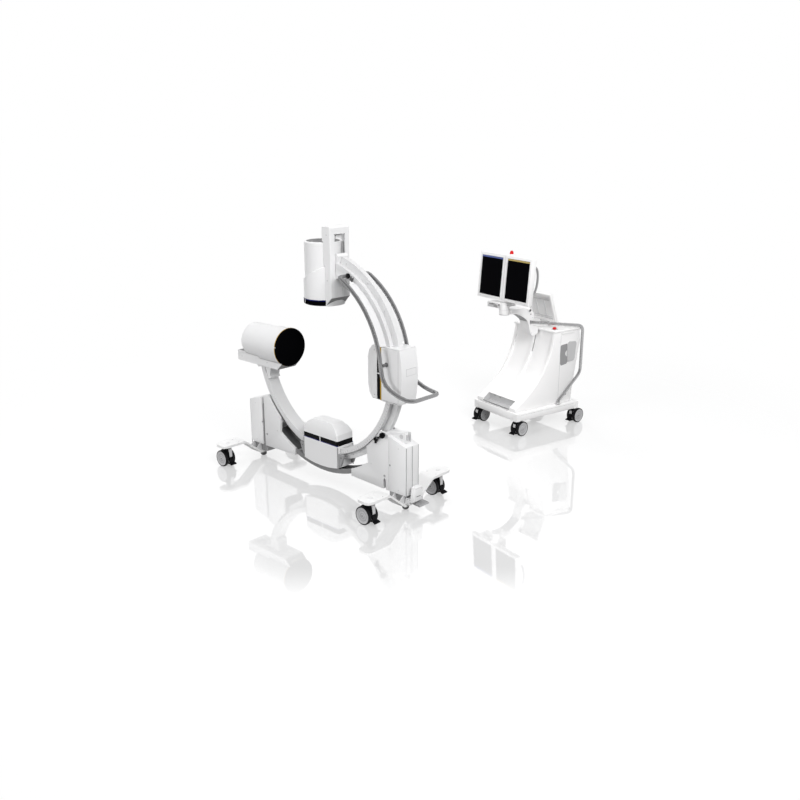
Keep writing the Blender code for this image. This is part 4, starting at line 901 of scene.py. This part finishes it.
yoke = Shape(CART)
yoke.box(-0.1500, -0.0200, HUB_Y - 0.0560, HUB_Y + 0.0200, HUB_TOP + 0.0012, HUB_TOP + 0.0110, 1)
yoke.box(-0.1500, -0.1370, HUB_Y - 0.0560, HUB_Y - 0.0300, HUB_SPLIT + 0.0100, HUB_TOP + 0.0012, 1)
yoke.box(-0.1340, -0.0580, HUB_Y - 0.0614, HUB_Y - 0.0602, HUB_SPLIT + 0.0130, HUB_TOP - 0.0090, 0)
sleeve = [(-0.0004, 0.0412), (0.0100, 0.0412), (0.0112, 0.0395)]
yoke.lathe([(HUB_TOP + z, r) for z, r in sleeve], 44, 1, centre=(0, HUB_Y, 0))
for side in (-1, 1):
    for z in (1.110, 1.170):
        yoke.screw((side * 0.034, 0.1404, z), (0, 1, 0), 0.0045, 0)
make("monitor_yoke_fittings", yoke, [LIGHT, CART_SHELL], "monitor_yoke")

top = MONITOR_LOW + MONITOR_TALL
mon = Shape(MONITOR)
mid_z = MONITOR_LOW + MONITOR_TALL / 2
for side, bar in ((-1, 0), (1, 1)):
    x0, x1 = span(side, SCREEN_GAP + 0.0012, SCREEN_EDGE - 0.0012)
    z1 = mid_z + SCREEN_TALL / 2 - 0.0014
    front = MONITOR_FRONT + 0.0030
    mon.box(x0, x1, front - 0.0004, front + 0.0004, z1 - 0.0125, z1, bar)
    lo, hi = mid_z - SCREEN_TALL / 2, mid_z + SCREEN_TALL / 2
    for a0, a1, c0, c1 in (
        (x0 - 0.0024, x0 - 0.0006, lo - 0.0010, hi + 0.0010),
        (x1 + 0.0006, x1 + 0.0024, lo - 0.0010, hi + 0.0010),
        (x0 - 0.0024, x1 + 0.0024, lo - 0.0026, lo - 0.0010),
        (x0 - 0.0024, x1 + 0.0024, hi + 0.0010, hi + 0.0026),
    ):
        mon.box(a0, a1, MONITOR_FRONT - 0.0006, MONITOR_FRONT + 0.0010, c0, c1, 2)
    mon.lathe([(MONITOR_FRONT - 0.0010, 0.0028), (MONITOR_FRONT + 0.001, 0.0028)], 20, 3, "Y",
              (side * (SCREEN_EDGE - 0.012), 0, MONITOR_LOW + 0.012))
mon.box(-0.0010, 0.0010, MONITOR_FRONT - 0.0005, MONITOR_FRONT + 0.001, MONITOR_LOW + 0.004, top - 0.004, 3)
make("monitor_front_trim", mon, [BAR_BLUE, BAR_GOLD, PANEL, LIGHT], "monitor")

shell = Shape(MONITOR)
for side in (-1, 1):
    a, b, c, d = side * 0.050, side * 0.248, side * 0.062, side * 0.232
    near = [(a, 0.0905, 1.112), (b, 0.0905, 1.112), (b, 0.0905, 1.442), (a, 0.0905, 1.442)]
    far = [(c, 0.1170, 1.134), (d, 0.1170, 1.134), (d, 0.1170, 1.420), (c, 0.1170, 1.420)]
    shell.loops([near, far], 0)
    for k in range(9):
        z = 1.300 + 0.011 * k
        x0, x1 = span(side, 0.082, 0.212)
        shell.box(x0, x1, 0.1165, 0.1178, z, z + 0.0045, 1)
    shell.box(*span(side, 0.095, 0.195), 0.1165, 0.1180, 1.150, 1.182, 1)
    for x in (0.074, 0.222):
        for z in (1.146, 1.408):
            shell.screw((side * x, 0.1170, z), (0, 1, 0), 0.0034, 2)
make("monitor_back_shells", shell, [CART_SHELL, SLATE, LIGHT], "monitor", bevel=0.003)

lamp = Shape(MONITOR)
lamp_at = (0.036, 0.070, 0)
lamp.box(-0.016, 0.130, 0.0540, 0.0880, top - 0.0006, top + 0.0050, 0)
lamp.lathe([(top + 0.0050, 0.0175), (top + 0.0085, 0.0175), (top + 0.0095, 0.0160)], 36, 0, centre=lamp_at)
dome = [(0.0095, 0.0150), (0.0230, 0.0146), (0.0310, 0.0122), (0.0365, 0.0078), (0.0385, 0.0025)]
lamp.lathe([(top + z, r) for z, r in dome], 36, 1, centre=lamp_at)
make("warning_lamp", lamp, [CART_SHELL, RED], "monitor", angle=50)

bow = Shape(MONITOR)
bow_path = []
for k in range(17):
    t = pi * k / 16
    bow_path.append((0.296 + 0.012 * sin(t), 0.0885 + 0.034 * sin(t) ** 0.7, 1.292 + 0.104 * cos(t)))
bow.tube(bow_path, 0.0090, 14, 0)
make("monitor_grip", bow, [GREY], "monitor", angle=60)

screen = Shape(PANEL_AT)
low, high, half = 0.8844, 1.1404, 0.145
front, behind = 0.515, 0.545
# A bright inner plate in the panel's recess: painted light that lifts the shade there
screen.box(-half + 0.0245, half - 0.0245, front + 0.0080, front + 0.0096, low + 0.0305, high - 0.0285, 0)
for x in (-0.048, 0.048):
    screen.box(x - 0.0030, x + 0.0030, front + 0.0030, front + 0.0085, low + 0.055, high - 0.060, 1)
for z in (low + 0.0480, high - 0.0540):
    screen.box(-half + 0.034, half - 0.034, front + 0.0030, front + 0.0085, z - 0.0030, z + 0.0030, 1)
for a0, a1, c0, c1 in (
    (-half + 0.0222, -half + 0.0246, low + 0.0282, high - 0.0262),
    (half - 0.0246, half - 0.0222, low + 0.0282, high - 0.0262),
    (-half + 0.0222, half - 0.0222, low + 0.0282, low + 0.0306),
    (-half + 0.0222, half - 0.0222, high - 0.0286, high - 0.0262),
):
    screen.box(a0, a1, front + 0.0060, front + 0.0098, c0, c1, 2)
screen.box(-0.118, 0.118, behind - 0.0006, behind + 0.0010, low + 0.085, high - 0.018, 3)
for row in range(2):
    for k in range(6):
        x = -0.105 + 0.042 * k
        z = low + 0.030 + 0.026 * row
        mat = 1 if (k + row) % 3 else 2
        screen.box(x - 0.014, x + 0.014, behind - 0.0004, behind + 0.0026, z - 0.008, z + 0.008, mat)
make(
    "operator_panel_fittings", screen, [PAINTED_LIGHT_WHITE, PANEL, LIGHT, SCREEN], "operator_panel",
    bevel=0.0004,
)


# Floor, world, light and camera
AHEAD = Vector((-0.6816, 0.7317, 0.0))
BRIGHT_SIDE = Vector((-0.14, 0.99, 0.0))
AMBIENT, BOUNCE = 0.42, 0.16
# Each turns a distance in metres, or a direction's share, from one range into another
FLOOR_GLOW = (1.6, 4.5, 0.66, 1.0)
FLOOR_MIRROR = (-2.55, -2.05, 0.0, 0.29)
SHINE = (-0.75, 0.15, 0.35, 1.0)
CAMERA_AT, CAMERA_PITCH, CAMERA_YAW = (4.343, -3.909, 2.384), 17.01, 42.97
FOCAL_PIXELS, FRAME_PIXELS = 863.9, 800


def map_range(tree, source, limits, smooth=False):
    node = add_node(tree, "ShaderNodeMapRange")
    if smooth:
        node.interpolation_type = "SMOOTHSTEP"
    for key, value in zip(("From Min", "From Max", "To Min", "To Max"), limits):
        node.inputs[key].default_value = value
    tree.links.new(source, node.inputs["Value"])
    return node.outputs[0]


def floor_material():
    """Pale and faintly mirror-like, whiter with distance, and dim to diffuse rays."""
    mat, tree, shader = new_material("floor_pale")
    tree.nodes.remove(shader)
    link = tree.links.new
    out = tree.nodes["Material Output"]
    path = add_node(tree, "ShaderNodeLightPath")
    where = add_node(tree, "ShaderNodeTexCoord")
    far = add_node(tree, "ShaderNodeVectorMath", operation="LENGTH")
    link(where.outputs["Object"], far.inputs[0])
    nearer = add_node(tree, "ShaderNodeVectorMath", operation="DOT_PRODUCT")
    nearer.inputs[1].default_value = AHEAD
    link(where.outputs["Object"], nearer.inputs[0])
    soft = add_node(tree, "ShaderNodeTexNoise", Scale=1.2, Detail=3.0)
    link(where.outputs["Object"], soft.inputs["Vector"])
    tone = ramp(tree, soft.outputs["Fac"], 0.3, 0.7, (0.90, 0.90, 0.905), (0.93, 0.93, 0.935))
    diffuse = add_node(tree, "ShaderNodeBsdfDiffuse")
    link(tone, diffuse.inputs["Color"])
    dim = add_node(tree, "ShaderNodeBsdfDiffuse", Color=(BOUNCE, BOUNCE, BOUNCE, 1))
    glow = add_node(tree, "ShaderNodeEmission", Color=(1, 1, 1, 1), Strength=1.0)
    lift = add_node(tree, "ShaderNodeMixShader")
    link(map_range(tree, far.outputs["Value"], FLOOR_GLOW, True), lift.inputs[0])
    link(diffuse.outputs[0], lift.inputs[1])
    link(glow.outputs[0], lift.inputs[2])
    mirror = add_node(tree, "ShaderNodeBsdfGlossy", Color=(1, 1, 1, 1), Roughness=0.015)
    weight = add_node(tree, "ShaderNodeMixShader")
    link(map_range(tree, nearer.outputs["Value"], FLOOR_MIRROR, True), weight.inputs[0])
    link(lift.outputs[0], weight.inputs[1])
    link(mirror.outputs[0], weight.inputs[2])
    bounce = add_node(tree, "ShaderNodeMixShader")
    link(path.outputs["Is Diffuse Ray"], bounce.inputs[0])
    link(weight.outputs[0], bounce.inputs[1])
    link(dim.outputs[0], bounce.inputs[2])
    link(bounce.outputs[0], out.inputs["Surface"])
    return mat


def add_floor():
    bm = bmesh.new()
    bmesh.ops.create_grid(bm, x_segments=1, y_segments=1, size=400)
    mesh = bpy.data.meshes.new("floor")
    bm.to_mesh(mesh)
    bm.free()
    floor = bpy.data.objects.new("floor", mesh)
    bpy.context.scene.collection.objects.link(floor)
    floor.location = (0, 0, -0.0003)
    mesh.materials.append(floor_material())


def add_world():
    """White to the camera, soft on the object, and in reflections darker on the front's side."""
    world = bpy.data.worlds.new("studio")
    bpy.context.scene.world = world
    world.use_nodes = True
    tree = world.node_tree
    link = tree.links.new
    back = tree.nodes["Background"]
    back.inputs["Color"].default_value = (1, 1, 1, 1)
    path = add_node(tree, "ShaderNodeLightPath")
    where = add_node(tree, "ShaderNodeTexCoord")
    facing = add_node(tree, "ShaderNodeVectorMath", operation="DOT_PRODUCT")
    facing.inputs[1].default_value = BRIGHT_SIDE
    link(where.outputs["Generated"], facing.inputs[0])
    gloss = add_node(tree, "ShaderNodeMix", data_type="FLOAT")
    link(path.outputs["Is Glossy Ray"], gloss.inputs[0])
    gloss.inputs[2].default_value = AMBIENT
    link(map_range(tree, facing.outputs["Value"], SHINE), gloss.inputs[3])
    seen = add_node(tree, "ShaderNodeMix", data_type="FLOAT")
    link(path.outputs["Is Camera Ray"], seen.inputs[0])
    link(gloss.outputs[0], seen.inputs[2])
    seen.inputs[3].default_value = 1.0
    link(seen.outputs[0], back.inputs["Strength"])


def softbox(name, place, aim, size, power):
    """A soft lamp that no mirror shows."""
    light = bpy.data.lights.new(name, "AREA")
    light.shape = "RECTANGLE"
    light.size, light.size_y = size
    light.energy = power
    obj = bpy.data.objects.new(name, light)
    bpy.context.scene.collection.objects.link(obj)
    obj.location = place
    obj.visible_glossy = False
    obj.rotation_euler = (Vector(aim) - Vector(place)).to_track_quat("-Z", "Y").to_euler()


def add_camera():
    data = bpy.data.cameras.new("camera")
    data.sensor_fit = "HORIZONTAL"
    data.sensor_width = 36
    data.lens = FOCAL_PIXELS / FRAME_PIXELS * data.sensor_width
    obj = bpy.data.objects.new("camera", data)
    bpy.context.scene.collection.objects.link(obj)
    pitch, yaw = radians(CAMERA_PITCH), radians(CAMERA_YAW)
    obj.location = STAND @ Vector(CAMERA_AT)
    forward = Vector((-sin(yaw) * cos(pitch), cos(yaw) * cos(pitch), -sin(pitch)))
    obj.rotation_euler = forward.to_track_quat("-Z", "Y").to_euler()
    bpy.context.scene.camera = obj


add_floor()
add_world()
softbox("key", (6.1, -2.7, 5.0), (0, -0.1, 0.8), (4.0, 3.0), 450)
softbox("top", (0.5, 0.3, 6.5), (0, 0, 0.5), (5.0, 5.0), 70)
softbox("front", (-2.2, -10.0, 3.6), (0, -0.2, 0.8), (5.0, 4.0), 410)
softbox("left", (-6.0, 2.4, 4.2), (0, -0.2, 0.9), (4.0, 3.0), 230)
add_camera()
bpy.context.scene.view_settings.view_transform = "Standard"
